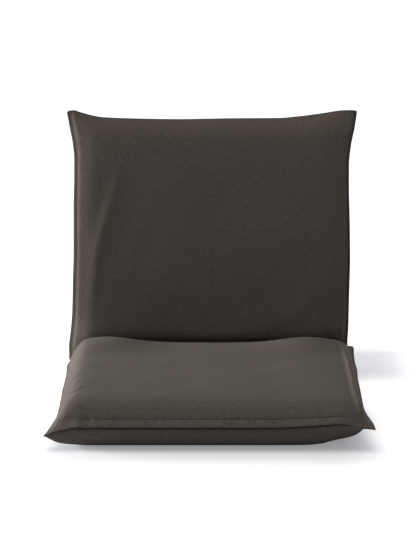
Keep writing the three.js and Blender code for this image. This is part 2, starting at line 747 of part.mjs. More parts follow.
// Cloth over the fold, drawn round the axis with 0 degrees along +Y and 90 along +Z
const foldOuter = hubRadius - foldRimGap;
const foldInner = foldOuter - clothThickness;
const foldWall = (from, to) => plate(sector(foldInner, foldOuter, from, to), -foldHalfWidth,
  foldHalfWidth, 6);
const foldSide = (side, inner, from, to) => plate(sector(inner, foldOuter, from, to),
  side * (foldHalfWidth - clothThickness), side * foldHalfWidth, 6);
const foldFrontFrom = backAngleDegrees + backBevelDegrees - foldTuckDegrees;
const foldFrontTo = 180 - seatBevelDegrees + foldTuckDegrees;
const foldRearFrom = 180 + rearBevelDegrees - foldTuckDegrees;
const foldRearTo = 360 + backAngleDegrees - rearBevelDegrees + foldTuckDegrees;

function foldCoverFront() {
  return join(foldWall(foldFrontFrom, foldFrontTo),
    foldSide(-1, foldHoleRadius, foldFrontFrom, foldFrontTo),
    foldSide(1, foldHoleRadius, foldFrontFrom, foldFrontTo));
}

function foldCoverRear() {
  const from = foldFrontTo + foldSideGapDegrees;
  const to = 360 + foldFrontFrom - foldSideGapDegrees;
  return join(foldWall(foldRearFrom, foldRearTo), foldSide(-1, 0, from, to), foldSide(1, 0, from, to));
}

// Assembly
const chair = new THREE.Group();
const seatHalf = new THREE.Group();
seatHalf.position.set(0, axisBehindCentre, axisHeight);
seatHalf.rotation.z = Math.PI;
const backHalf = new THREE.Group();
backHalf.position.set(0, axisBehindCentre, axisHeight);
backHalf.rotation.x = backAngleDegrees * DEGREE;
const foldGroup = new THREE.Group();
foldGroup.position.set(0, axisBehindCentre, axisHeight);
chair.add(seatHalf, backHalf, foldGroup);

function place(group, name, geometry, finish, position = [0, 0, 0]) {
  const mesh = new THREE.Mesh(geometry, finish);
  mesh.name = name;
  mesh.position.set(...position);
  group.add(mesh);
  return mesh;
}

place(seatHalf, "seat_cover_top", seatTopCover(), cloth);
place(seatHalf, "seat_cover_base", coverPanel(seatCushion, seatBase), cloth);
place(seatHalf, "seat_foam_top", foamPad(seatCushion, seatTop, seatFrameReach), foam);
place(seatHalf, "seat_foam_base", foamPad(seatCushion, seatBase, seatFrameReach), foam);
place(seatHalf, "seat_frame_tube",
  frameTube(hingeFromCentre, seatTubeStart, seatFrameReach, seatRivetAt), tubeSteel);
place(seatHalf, "seat_cross_bar", crossBar(hingeFromCentre, seatCrossBarAt), tubeSteel);

place(backHalf, "back_cover_front", coverPanel(backCushion, backFront), cloth);
place(backHalf, "back_cover_rear", coverPanel(backCushion, backRear), cloth);
place(backHalf, "back_foam_front", foamPad(backCushion, backFront, backFrameReach), foam);
place(backHalf, "back_foam_rear", foamPad(backCushion, backRear, backFrameReach), foam);
place(backHalf, "back_frame_tube",
  frameTube(backTubeFromCentre, backTubeStart, backFrameReach, backRivetAt), tubeSteel);
place(backHalf, "back_cross_bar", crossBar(backTubeFromCentre, backCrossBarAt), tubeSteel);

for (let strap = 0; strap < strapCount; strap += 1) {
  place(seatHalf, `seat_strap_${strap + 1}`,
    strapLoop(hingeFromCentre, seatFirstStrapAt + strap * seatStrapSpacing), webbing);
  place(backHalf, `back_strap_${strap + 1}`,
    strapLoop(backTubeFromCentre, backFirstStrapAt + strap * backStrapSpacing), webbing);
}

// The seat half is turned to face front, so its own X runs against the chair's
const stackGrip = 2 * stackHalf + 2 * clearance;
const tubeGrip = 2 * (tubeRadius + clearance);
for (const [hand, worldSide] of [["left", -1], ["right", 1]]) {
  const seatSide = -worldSide;
  const seatX = seatSide * hingeFromCentre;
  place(seatHalf, `case_outer_${hand}`, casePlate(stackHalf - caseThickness, seatSide), zincSteel);
  place(seatHalf, `case_inner_${hand}`, casePlate(-stackHalf, seatSide), zincSteel);
  place(seatHalf, `pawl_${hand}`, pawl(seatSide), zincSteel);
  place(seatHalf, `pawl_spring_${hand}`, pawlSpring(seatSide), springSteel);
  place(seatHalf, `pawl_pin_${hand}`, rivet(stackGrip, pawlPinRadius, pawlPinHeadRadius),
    zincSteel, [seatX, pawlPinFromAxis, 0]);
  place(seatHalf, `case_spacer_${hand}`, rivet(stackGrip, spacerRadius, spacerHeadRadius),
    zincSteel, [seatX, spacerFromAxis, 0]);
  place(seatHalf, `pivot_pin_${hand}`, rivet(stackGrip, pivotRadius, pivotHeadRadius),
    zincSteel, [seatX, 0, 0]);
  place(seatHalf, `seat_tube_rivet_${hand}`, rivet(tubeGrip, tubeRivetRadius, tubeRivetHeadRadius),
    zincSteel, [seatX, seatRivetAt, 0]);
  place(backHalf, `gear_arm_${hand}`, gearArm(worldSide), zincSteel);
  place(backHalf, `back_tube_rivet_${hand}`, rivet(tubeGrip, tubeRivetRadius, tubeRivetHeadRadius),
    zincSteel, [worldSide * backTubeFromCentre, backRivetAt, 0]);
}

place(foldGroup, "fold_cover_front", foldCoverFront(), cloth);
place(foldGroup, "fold_cover_rear", foldCoverRear(), cloth);

place(seatHalf, "placket_flap", placketFlap(), cloth);
place(seatHalf, "zip_tape_upper", zipTape(-1), zipNylon);
place(seatHalf, "zip_tape_lower", zipTape(1), zipNylon);
place(seatHalf, "zip_coil", zipCoil(), zipNylon);
place(seatHalf, "zip_stop_left", zipStop(1), zipMetal);
place(seatHalf, "zip_stop_right", zipStop(-1), zipMetal);
place(seatHalf, "zip_slider", zipSlider(), zipMetal, [sliderRest, 0, 0]);
place(seatHalf, "zip_pull", zipPull(), zipMetal, [sliderRest, 0, 0]);

export default chair;
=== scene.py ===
"""Looks of the folding floor chair: cloth cover, foam, front flap, zip, steel frame and studio."""

import json
import logging
import math
from dataclasses import dataclass, field
from enum import Enum
from typing import Sequence

import bpy
import numpy as np
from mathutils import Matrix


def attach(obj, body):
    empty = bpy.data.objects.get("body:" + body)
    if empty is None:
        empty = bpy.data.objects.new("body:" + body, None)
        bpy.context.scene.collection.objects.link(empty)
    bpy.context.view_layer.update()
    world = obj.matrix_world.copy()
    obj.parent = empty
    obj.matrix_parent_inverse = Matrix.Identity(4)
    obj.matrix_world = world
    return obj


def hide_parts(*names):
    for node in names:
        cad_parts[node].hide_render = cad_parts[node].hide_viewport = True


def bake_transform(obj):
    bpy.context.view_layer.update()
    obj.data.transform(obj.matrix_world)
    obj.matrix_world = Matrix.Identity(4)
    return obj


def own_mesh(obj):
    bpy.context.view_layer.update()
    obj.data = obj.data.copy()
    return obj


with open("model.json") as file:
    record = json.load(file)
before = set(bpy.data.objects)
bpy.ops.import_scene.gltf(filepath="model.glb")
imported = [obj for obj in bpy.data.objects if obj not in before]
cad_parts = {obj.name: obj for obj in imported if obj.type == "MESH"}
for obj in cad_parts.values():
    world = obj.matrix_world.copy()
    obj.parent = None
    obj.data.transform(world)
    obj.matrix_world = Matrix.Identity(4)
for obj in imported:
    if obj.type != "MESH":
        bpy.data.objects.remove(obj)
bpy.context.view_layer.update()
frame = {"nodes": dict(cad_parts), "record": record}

LOG = logging.getLogger("floor_chair")
MM = 0.001
HINGE_Y = 195.0
HINGE_Z = 32.0
BACK_ANGLE = math.radians(78.0)
HUB_RADIUS = 27.0
BACK_RUN = 319.0
NOISE_RANGE = (0.3, 0.7)
BLACK = (0.0, 0.0, 0.0)
WHITE = (1.0, 1.0, 1.0)

Table = Sequence[tuple[float, ...]]
Pair = tuple[float, float]
Place = tuple[float, float, float]
Colour = tuple[float, float, float]


class Side(Enum):
    """Which side of the chair a seam is on, as seen from the front."""

    LEFT = -1
    RIGHT = 1


class Face(Enum):
    """The two sheets of cloth that the cover is sewn from."""

    SITTING = 1
    UNDER = -1


class Half(Enum):
    """The two halves of the chair, by the name of their body."""

    SEAT = "seat"
    BACK = "back"


def linear(red: int, green: int, blue: int) -> Colour:
    """Turns a colour written as it is seen, 0 to 255, into the linear values shaders take.

    Args:
        red: Red, 0 to 255.
        green: Green, 0 to 255.
        blue: Blue, 0 to 255.

    Returns:
        The linear colour.
    """
    def channel(value: int) -> float:
        """One channel in linear light."""
        share = value / 255
        return share / 12.92 if share <= 0.04045 else ((share + 0.055) / 1.055) ** 2.4

    return channel(red), channel(green), channel(blue)


def scaled(colour: Colour, by: float | Colour) -> Colour:
    """A colour with its channels multiplied."""
    return tuple(np.multiply(colour, by).tolist())


def smooth(share: np.ndarray) -> np.ndarray:
    """A share of 0 to 1, eased at both ends."""
    return share * share * (3 - 2 * share)


def eased(table: Table, where: np.ndarray | float, column: int = 1) -> np.ndarray:
    """Reads a table at any place, on a smooth curve that never overshoots its rows.

    Args:
        table: Rows of place and values, with rising places.
        where: The places to read.
        column: Which value of each row to read.

    Returns:
        The values at those places.
    """
    rows = np.array(table, float)
    x, y = rows[:, 0], rows[:, column]
    gap = np.diff(x)
    slope = np.diff(y) / gap
    tangent = np.zeros_like(y)
    tangent[0], tangent[-1] = slope[0], slope[-1]
    if len(x) > 2:
        same = slope[:-1] * slope[1:] > 0
        first, second = 2 * gap[1:] + gap[:-1], gap[1:] + 2 * gap[:-1]
        safe_before = np.where(same, slope[:-1], 1.0)
        safe_after = np.where(same, slope[1:], 1.0)
        mean = (first + second) / (first / safe_before + second / safe_after)
        tangent[1:-1] = np.where(same, mean, 0.0)
    at = np.clip(where, x[0], x[-1])
    cell = np.clip(np.searchsorted(x, at, side="right") - 1, 0, len(gap) - 1)
    t = (at - x[cell]) / gap[cell]
    return (
        (2 * t**3 - 3 * t**2 + 1) * y[cell]
        + (t**3 - 2 * t**2 + t) * gap[cell] * tangent[cell]
        + (3 * t**2 - 2 * t**3) * y[cell + 1]
        + (t**3 - t**2) * gap[cell] * tangent[cell + 1]
    )


def curve_through(points: Table, shares: np.ndarray) -> np.ndarray:
    """Places along a smooth curve through some points, by its share of the chord length.

    Args:
        points: The points that it passes through.
        shares: Shares of its length, from 0 to 1.

    Returns:
        One row of coordinates for each share.
    """
    rows = np.array(points, float)
    reach = np.concatenate([[0.0], np.cumsum(np.linalg.norm(np.diff(rows, axis=0), axis=1))])
    keyed = np.column_stack([reach / reach[-1], rows])
    return np.column_stack([eased(keyed, shares, 1 + n) for n in range(rows.shape[1])])


def back_to_world(y: np.ndarray, z: np.ndarray) -> tuple[np.ndarray, np.ndarray]:
    """Turns places along and in front of the back into the chair's own Y and Z.

    Args:
        y: Distance up the back from the hinge axis.
        z: Distance in front of the back's middle plane.

    Returns:
        Y and Z in the chair's frame.
    """
    cos, sin = math.cos(BACK_ANGLE), math.sin(BACK_ANGLE)
    return HINGE_Y + y * cos - z * sin, HINGE_Z + y * sin + z * cos


def world_to_back(y: np.ndarray, z: np.ndarray) -> tuple[np.ndarray, np.ndarray]:
    """Turns the chair's own Y and Z into places along and in front of the back.

    Args:
        y: Y in the chair's frame.
        z: Z in the chair's frame.

    Returns:
        Distance up the back from the hinge axis, and in front of its middle plane.
    """
    cos, sin = math.cos(BACK_ANGLE), math.sin(BACK_ANGLE)
    return (y - HINGE_Y) * cos + (z - HINGE_Z) * sin, (z - HINGE_Z) * cos - (y - HINGE_Y) * sin


def steps_between(*runs: tuple[float, float, float]) -> np.ndarray:
    """Stations along a length, given as runs of start, end and step.

    Args:
        *runs: Start, end and step of each run, which follow each other.

    Returns:
        The stations as shares of the last run's end.
    """
    stations = [np.linspace(a, b, max(int(round((b - a) / step)), 1), endpoint=False)
                for a, b, step in runs]
    stations.append(np.array([runs[-1][1]]))
    return np.concatenate(stations) / runs[-1][1]


def crowded(half_count: int, power: float, extra: Sequence[float] = ()) -> np.ndarray:
    """Stations from -1 to 1, alike on both sides and closer together at both ends.

    Args:
        half_count: How many steps each side has.
        power: How much they crowd, where 1 is even.
        extra: More stations for each side.

    Returns:
        The stations.
    """
    away = 1 - (1 - np.linspace(0, 1, half_count + 1)) ** power
    away = np.sort(np.concatenate([away, extra]))
    return np.concatenate([-away[:0:-1], away])


@dataclass(frozen=True)
class Crease:
    """A fold in the cloth: a ridge, or a valley where its height is negative."""

    path: Table
    height: float
    width: float
    end_margin: float = 0.02
    end_power: float = 0.6

    def rise(self, x: np.ndarray, y: np.ndarray) -> np.ndarray:
        """How far the cloth stands out at each place.

        Args:
            x: Places across the cloth.
            y: Places along the cloth.

        Returns:
            The rise at each place, in millimetres.
        """
        points = np.array(self.path, float)
        nearest = np.full(x.shape, np.inf)
        ending = np.zeros(x.shape)
        pieces = len(points) - 1
        for n, (start, end) in enumerate(zip(points[:-1], points[1:])):
            run = end - start
            t = ((x - start[0]) * run[0] + (y - start[1]) * run[1]) / float(run @ run)
            t = np.clip(t, 0, 1)
            away = np.hypot(x - start[0] - t * run[0], y - start[1] - t * run[1])
            closer = away < nearest
            nearest = np.where(closer, away, nearest)
            ending = np.where(closer, (n + t) / pieces, ending)
        ending = np.clip(ending, self.end_margin, 1 - self.end_margin)
        taper = np.sin(np.pi * ending) ** self.end_power
        return self.height * taper * np.exp(-((nearest / self.width) ** 2))


@dataclass(frozen=True)
class Ripple:
    """Slow waves in cloth, summed from a few seeded sines."""

    seed: int
    height: float
    length: float
    count: int = 9
    spread: Pair = (0.6, 1.6)

    def rise(self, x: np.ndarray, y: np.ndarray) -> np.ndarray:
        """How far the cloth stands out at each place.

        Args:
            x: Places across the cloth.
            y: Places along the cloth.

        Returns:
            The rise at each place, in millimetres.
        """
        draw = np.random.default_rng(self.seed)
        total = np.zeros(x.shape)
        for _ in range(self.count):
            turn, phase = draw.uniform(0, 2 * math.pi, 2)
            wave = 2 * math.pi / (self.length * draw.uniform(*self.spread))
            total += np.sin(wave * (x * math.cos(turn) + y * math.sin(turn)) + phase)
        return self.height * total / math.sqrt(self.count)


class Graph:
    """The nodes of a material or a world, with short calls that add and feed them."""

    def __init__(self, owner: bpy.types.ID, shader: str = "Principled BSDF") -> None:
        """Takes up the nodes of a new material or world.

        Args:
            owner: The material or world.
            shader: The name of its shader node.
        """
        owner.use_nodes = True
        self.tree = owner.node_tree
        self.shader = self.tree.nodes[shader]

    def feed(self, socket: bpy.types.NodeSocket, source: object) -> None:
        """Links a socket to another, or sets its value.

        Args:
            socket: The socket.
            source: The socket that it is linked to, or its value.
        """
        if isinstance(source, bpy.types.NodeSocket):
            self.tree.links.new(source, socket)
        elif isinstance(source, tuple) and len(source) == 3 and socket.type == "RGBA":
            socket.default_value = (*source, 1.0)
        else:
            socket.default_value = source

    def surface(self, inputs: dict[str, object]) -> None:
        """Feeds the shader's own inputs by name."""
        for name, source in inputs.items():
            self.feed(self.shader.inputs[name], source)

    def add(self, kind: str, inputs: dict[str | int, object], **settings: object) -> bpy.types.Node:
        """Adds a node.

        Args:
            kind: The node's type.
            inputs: What each input is set or linked to.
            **settings: The node's own settings.

        Returns:
            The node.
        """
        node = self.tree.nodes.new(kind)
        for name, value in settings.items():
            setattr(node, name, value)
        for name, source in inputs.items():
            self.feed(node.inputs[name], source)
        return node

    def maths(self, operation: str, *values: object) -> bpy.types.NodeSocket:
        """A Math node's result."""
        node = self.add("ShaderNodeMath", dict(enumerate(values)), operation=operation)
        return node.outputs[0]

    def mixed(self, share: object, first: object, second: object) -> bpy.types.NodeSocket:
        """Two colours mixed, with the share of the second given."""
        node = self.add("ShaderNodeMix", {0: share, 6: first, 7: second}, data_type="RGBA")
        return node.outputs[2]

    def placed(self, scale: Place, uv: str = "") -> bpy.types.NodeSocket:
        """Coordinates for a pattern, scaled.

        Args:
            scale: Pattern repeats per metre on each axis.
            uv: The UV map to read, or nothing for the object's own coordinates.

        Returns:
            The scaled coordinates.
        """
        if uv:
            source = self.add("ShaderNodeUVMap", {}, uv_map=uv).outputs["UV"]
        else:
            source = self.add("ShaderNodeTexCoord", {}).outputs["Object"]
        return self.add("ShaderNodeMapping", {"Vector": source, "Scale": scale}).outputs[0]

    def seen(self) -> bpy.types.NodeSocket:
        """Gives 1 for what is seen, directly or in a reflection, and 0 for what only lights."""
        path = self.add("ShaderNodeLightPath", {})
        return self.maths("MAXIMUM", path.outputs["Is Camera Ray"], path.outputs["Is Glossy Ray"])

    def noise(self, vector: bpy.types.NodeSocket, detail: float = 2.0) -> bpy.types.NodeSocket:
        """A noise texture's value over some coordinates."""
        node = self.add("ShaderNodeTexNoise", {"Vector": vector, "Scale": 1.0, "Detail": detail})
        return node.outputs[0]

    def ranged(self, value: object, low: float, high: float, to_low: float,
               to_high: float) -> bpy.types.NodeSocket:
        """A value moved smoothly from the range low to high to the range to_low to to_high."""
        node = self.add("ShaderNodeMapRange", {0: value, 1: low, 2: high, 3: to_low, 4: to_high},
                        interpolation_type="SMOOTHSTEP")
        return node.outputs[0]

    def bump(self, height: object, distance: float, strength: float = 1.0,
             normal: object = None) -> bpy.types.NodeSocket:
        """A bump node's normal.

        Args:
            height: The height, 0 to 1.
            distance: What a height of 1 is, in millimetres.
            strength: How much of it shows.
            normal: A normal that it adds to.

        Returns:
            The bumped normal.
        """
        inputs = {"Height": height, "Distance": distance * MM, "Strength": strength}
        if normal is not None:
            inputs["Normal"] = normal
        return self.add("ShaderNodeBump", inputs).outputs[0]


@dataclass(frozen=True)
class Finish:
    """A finish by its name and colour. Each relief is a height in millimetres and a strength."""

    name: str
    colour: Colour

    def paint(self, g: Graph) -> None:
        """Feeds the material's shader, which each kind of finish does in its own way."""
        raise NotImplementedError

    def material(self) -> bpy.types.Material:
        """Makes the finish's material.

        Returns:
            The material.
        """
        made = bpy.data.materials.new(self.name)
        self.paint(Graph(made))
        return made


@dataclass(frozen=True)
class WovenCotton(Finish):
    """Plain-woven cotton, with slubs, faint patches, a soft nap, painted shade between the threads
    and painted shade along the seams.
    """

    thread_pitch: float = 0.62
    slub_share: float = 0.15
    slub_scale: Pair = (560.0, 90.0)
    slub_range: Pair = (0.38, 0.62)
    slub_relief: Pair = (0.25, 0.5)
    patch_scale: Pair = (9.0, 7.0)
    patch_cast: Colour = (0.96, 0.98, 1.0)
    patch_share: float = 0.35
    gap_shade_share: float = 0.22
    weave_relief: Pair = (0.1, 0.55)
    seam_shade_share: float = 0.62
    roughness: Pair = (0.82, 0.95)
    specular: float = 0.12
    nap: float = 0.05
    nap_roughness: float = 0.55

    def paint(self, g: Graph) -> None:
        """Weaves the threads, with slubs and patches, and paints shade between the threads and
        along the seams.

        Args:
            g: The material's nodes.
        """
        threads = 1 / (self.thread_pitch * MM)
        where = g.placed((threads, threads, 1), "cloth")
        cell = g.add("ShaderNodeSeparateXYZ", {0: where})
        warp, weft = (g.maths("ABSOLUTE", g.maths("SINE", g.maths("MULTIPLY", axis, math.pi)))
                      for axis in cell.outputs[:2])
        over = g.add("ShaderNodeTexChecker", {"Scale": 1.0, "Vector": where}).outputs[1]
        crossed = g.maths("ADD", g.maths("MULTIPLY", over, warp),
                          g.maths("MULTIPLY", g.maths("SUBTRACT", 1.0, over), weft))
        halves = [g.maths("MULTIPLY", g.noise(g.placed((*scale, 1), "cloth"), 4.0), 0.5)
                  for scale in (self.slub_scale, self.slub_scale[::-1])]
        slubs = g.maths("ADD", *halves)
        patches = g.noise(g.placed((*self.patch_scale, 1), "cloth"), 4.0)
        # Painted shade: the cloth is darkened towards black near each seam, where shade falls.
        painted_seam_shade = g.add("ShaderNodeAttribute", {}, attribute_name="painted_seam_shade").outputs["Fac"]
        base = g.mixed(g.ranged(slubs, *self.slub_range, 0.0, 1.0),
                       scaled(self.colour, 1 - self.slub_share),
                       scaled(self.colour, 1 + self.slub_share))
        base = g.mixed(g.ranged(patches, *NOISE_RANGE, 0.0, self.patch_share), base,
                       scaled(self.colour, self.patch_cast))
        # Painted shade: the gaps between the crossing threads are darkened towards black.
        shaded_gaps = g.mixed(g.ranged(crossed, 0.0, 0.5, self.gap_shade_share, 0.0), base, BLACK)
        g.surface({
            "Base Color": g.mixed(g.maths("MULTIPLY", painted_seam_shade, self.seam_shade_share), shaded_gaps, BLACK),
            "Roughness": g.ranged(slubs, *NOISE_RANGE, *self.roughness),
            "Normal": g.bump(crossed, *self.weave_relief, g.bump(slubs, *self.slub_relief)),
            "Specular IOR Level": self.specular,
            "Sheen Weight": self.nap,
            "Sheen Roughness": self.nap_roughness})


@dataclass(frozen=True)
class SewingThread(Finish):
    """Twisted cotton thread, as in the top stitching."""

    twist_pitch: float = 0.7
    twist_stretch: float = 0.6
    twist_waver: float = 1.5
    twist_height: float = 0.1
    shade: float = 0.55
    roughness: float = 0.7
    specular: float = 0.3

    def paint(self, g: Graph) -> None:
        """Twists the thread.

        Args:
            g: The material's nodes.
        """
        turns = 1 / (self.twist_pitch * MM)
        where = g.placed((turns, turns * self.twist_stretch, turns * self.twist_stretch))
        twist = g.add("ShaderNodeTexWave", {"Vector": where, "Scale": 1.0,
                                            "Distortion": self.twist_waver},
                      bands_direction="DIAGONAL").outputs["Fac"]
        g.surface({"Base Color": g.mixed(twist, scaled(self.colour, self.shade), self.colour),
                   "Normal": g.bump(twist, self.twist_height),
                   "Roughness": self.roughness, "Specular IOR Level": self.specular})


@dataclass(frozen=True)
class OpenFoam(Finish):
    """Open-celled cushion foam, a little yellowed."""

    cell_size: float = 0.9
    cell_range: Pair = (0.15, 0.6)
    cell_share: float = 0.4
    cell_relief: Pair = (0.5, 0.8)
    age_scale: float = 12.0
    age_range: Pair = (0.35, 0.7)
    age_share: float = 0.6
    age_cast: Colour = (0.86, 0.72, 0.5)
    roughness: float = 0.95
    specular: float = 0.2

    def paint(self, g: Graph) -> None:
        """Opens the cells, paints shade in their hollows and yellows the foam in patches.

        Args:
            g: The material's nodes.
        """
        cells = 1 / (self.cell_size * MM)
        pores = g.add("ShaderNodeTexVoronoi", {"Vector": g.placed((cells,) * 3),
                                               "Scale": 1.0}).outputs["Distance"]
        aged = g.noise(g.placed((self.age_scale,) * 3), 3.0)
        deeper = scaled(self.colour, self.age_cast)
        base = g.mixed(g.ranged(aged, *self.age_range, 0.0, self.age_share), self.colour, deeper)
        # Painted shade: the hollow of each cell is darkened.
        shaded = g.mixed(g.ranged(pores, *self.cell_range, self.cell_share, 0.0), base, deeper)
        g.surface({"Base Color": shaded, "Normal": g.bump(pores, *self.cell_relief),
                   "Roughness": self.roughness, "Specular IOR Level": self.specular})


@dataclass(frozen=True)
class PowderCoat(Finish):
    """A smooth coat, as on steel tube or nylon teeth, with orange peel and rubbed spots."""

    rubbed: Colour = (0.2, 0.2, 0.21)
    peel_scale: float = 900.0
    peel_relief: Pair = (0.06, 0.6)
    wear_scale: float = 28.0
    wear_range: Pair = (0.66, 0.74)
    wear_share: float = 0.7
    roughness: Pair = (0.38, 0.55)

    def paint(self, g: Graph) -> None:
        """Coats the steel and rubs it in spots.

        Args:
            g: The material's nodes.
        """
        peel = g.noise(g.placed((self.peel_scale,) * 3))
        wear = g.noise(g.placed((self.wear_scale,) * 3), 6.0)
        spots = g.ranged(wear, *self.wear_range, 0.0, self.wear_share)
        g.surface({"Base Color": g.mixed(spots, self.colour, self.rubbed), "Metallic": spots,
                   "Roughness": g.ranged(peel, *NOISE_RANGE, *self.roughness),
                   "Normal": g.bump(peel, *self.peel_relief)})


@dataclass(frozen=True)
class PlatedSteel(Finish):
    """Pressed or drawn steel under a thin plating, with rolling marks and dulled patches."""

    grain: Place = (2500, 120, 120)
    roughness: float = 0.34
    smoother: float = 0.08
    rougher: float = 0.12
    mark_relief: Pair = (0.03, 0.5)
    dull_scale: float = 45.0
    dull_range: Pair = (0.4, 0.7)
    dull_share: float = 0.8
    dull_shade: float = 0.7

    def paint(self, g: Graph) -> None:
        """Rolls the marks into the plating and dulls it in patches.

        Args:
            g: The material's nodes.
        """
        marks = g.noise(g.placed(self.grain), 3.0)
        dull = g.noise(g.placed((self.dull_scale,) * 3), 5.0)
        patches = g.ranged(dull, *self.dull_range, 0.0, self.dull_share)
        g.surface({
            "Base Color": g.mixed(patches, self.colour, scaled(self.colour, self.dull_shade)),
            "Metallic": 1.0,
            "Roughness": g.ranged(marks, *NOISE_RANGE, self.roughness - self.smoother,
                                  self.roughness + self.rougher),
            "Normal": g.bump(marks, *self.mark_relief)})


@dataclass(frozen=True)
class NarrowWeave(Finish):
    """Woven tape or webbing, with ribs across it and specks of fuzz."""

    rib_pitch: float = 1.6
    along_y: bool = False
    rib_stretch: float = 0.3
    rib_waver: float = 0.6
    rib_relief: Pair = (0.25, 0.7)
    rib_light: float = 1.7
    fuzz_scale: float = 1400.0
    fuzz_share: float = 0.3
    roughness: float = 0.85
    nap: float = 0.1

    def paint(self, g: Graph) -> None:
        """Weaves the ribs, along Y or along X.

        Args:
            g: The material's nodes.
        """
        ribs = 1 / (self.rib_pitch * MM)
        thin = ribs * self.rib_stretch
        where = (thin, ribs, ribs) if self.along_y else (ribs, thin, thin)
        rib = g.add("ShaderNodeTexWave", {"Vector": g.placed(where), "Scale": 1.0,
                                          "Distortion": self.rib_waver},
                    bands_direction="Y" if self.along_y else "X",
                    wave_profile="SIN").outputs["Fac"]
        fuzz = g.noise(g.placed((self.fuzz_scale,) * 3))
        base = g.mixed(rib, self.colour, scaled(self.colour, self.rib_light))
        worn = g.ranged(fuzz, *NOISE_RANGE, 0.0, self.fuzz_share)
        g.surface({"Base Color": g.mixed(worn, base, self.colour),
                   "Normal": g.bump(rib, *self.rib_relief),
                   "Roughness": self.roughness, "Sheen Weight": self.nap})


@dataclass(frozen=True)
class Finishes:
    """Every finish on the chair."""

    cotton: WovenCotton = WovenCotton("dark_warm_grey_cotton", linear(93, 84, 75))
    thread: SewingThread = SewingThread("dark_sewing_thread", linear(70, 64, 58))
    foam: OpenFoam = OpenFoam("cushion_foam", linear(226, 214, 178))
    tube: PowderCoat = PowderCoat("black_powder_coat", linear(42, 43, 45))
    plate: PlatedSteel = PlatedSteel("zinc_plated_steel", linear(178, 180, 182))
    wire: PlatedSteel = PlatedSteel("spring_wire", linear(128, 130, 134), (300, 300, 2500), 0.28)
    webbing: NarrowWeave = NarrowWeave("frame_webbing", linear(45, 43, 41))
    zip_tape: NarrowWeave = NarrowWeave("zip_tape", linear(58, 53, 48), 0.6, True)
    zip_teeth: PowderCoat = PowderCoat("zip_coil_nylon", linear(50, 46, 42), linear(90, 84, 78))
    zip_metal: PlatedSteel = PlatedSteel("darkened_zip_metal", linear(92, 86, 80), (900, 900, 900))

    def materials(self) -> dict[str, bpy.types.Material]:
        """Builds each finish once.

        Returns:
            The materials by the finish's place in this class.
        """
        return {name: getattr(self, name).material() for name in self.__dataclass_fields__}


def make_mesh(name: str, points: np.ndarray, faces: np.ndarray,
              material: bpy.types.Material) -> bpy.types.Object:
    """Makes a smooth-shaded object at the origin from points in millimetres.

    Args:
        name: The piece's name.
        points: Its points, one row each.
        faces: Its faces, four corners each.
        material: Its finish.

    Returns:
        The object.
    """
    mesh = bpy.data.meshes.new(name)
    mesh.from_pydata((points * MM).tolist(), [], faces.tolist())
    mesh.materials.append(material)
    mesh.shade_smooth()
    made = bpy.data.objects.new(name, mesh)
    bpy.context.scene.collection.objects.link(made)
    return made


def set_uv(made: bpy.types.Object, uv: np.ndarray) -> None:
    """Gives a mesh its cloth UV map, in metres of cloth.

    Args:
        made: The object.
        uv: One row for each point of the mesh.
    """
    layer = made.data.uv_layers.new(name="cloth")
    corners = np.zeros(len(made.data.loops), int)
    made.data.loops.foreach_get("vertex_index", corners)
    layer.data.foreach_set("uv", (uv[corners] * MM).astype(np.float32).ravel())


def set_attribute(made: bpy.types.Object, name: str, values: np.ndarray) -> None:
    """Gives each point of a mesh a value that its material reads."""
    layer = made.data.attributes.new(name, "FLOAT", "POINT")
    layer.data.foreach_set("value", values.astype(np.float32))


def grid_faces(rows: int, columns: int) -> np.ndarray:
    """The faces of a grid of points.

    Args:
        rows: How many rows of points.
        columns: How many points in a row.

    Returns:
        Four point numbers for each face.
    """
    row, column = np.meshgrid(np.arange(rows - 1), np.arange(columns - 1), indexing="ij")
    first = (row * columns + column).ravel()
    return np.column_stack([first, first + 1, first + columns + 1, first + columns])


def shell_between(outer: np.ndarray, inner: np.ndarray) -> tuple[np.ndarray, np.ndarray]:
    """Joins two grids of points by walls round their edges.

    Args:
        outer: The outer grid.
        inner: The inner grid, of the same size.

    Returns:
        The points and the faces of the closed shell.
    """
    rows, columns = outer.shape[:2]
    numbers = np.arange(rows * columns).reshape(rows, columns)
    faces = grid_faces(rows, columns)
    rim = np.concatenate([numbers[0, :-1], numbers[:-1, -1], numbers[-1, :0:-1], numbers[:0:-1, 0]])
    following = np.roll(rim, -1)
    total = rows * columns
    walls = np.column_stack([following, rim, rim + total, following + total])
    points = np.concatenate([outer.reshape(-1, 3), inner.reshape(-1, 3)])
    return points, np.concatenate([faces, faces[:, ::-1] + total, walls])


def bag_of(outer: np.ndarray, inner: np.ndarray) -> tuple[np.ndarray, np.ndarray, np.ndarray]:
    """Joins two grids of points into a closed bag, in which both have the outer one's edge.

    Args:
        outer: The outer grid.
        inner: The inner grid, of the same size.

    Returns:
        The points, the faces, and which places of the grid lie inside its edge.
    """
    rows, columns = outer.shape[:2]
    inside = np.zeros((rows, columns), bool)
    inside[1:-1, 1:-1] = True
    numbers = np.arange(rows * columns).reshape(rows, columns)
    numbers[inside] = rows * columns + np.arange(int(inside.sum()))
    faces = grid_faces(rows, columns)
    points = np.concatenate([outer.reshape(-1, 3), inner[inside]])
    return points, np.concatenate([faces, numbers.ravel()[faces][:, ::-1]]), inside


def grid_normals(points: np.ndarray) -> np.ndarray:
    """Unit normals of a grid of points, from its rows and columns.

    Args:
        points: The grid.

    Returns:
        The normal at each point.
    """
    down = np.gradient(points, axis=0)
    across = np.gradient(points, axis=1)
    normals = np.cross(across, down)
    return normals / np.maximum(np.linalg.norm(normals, axis=2, keepdims=True), 1e-9)


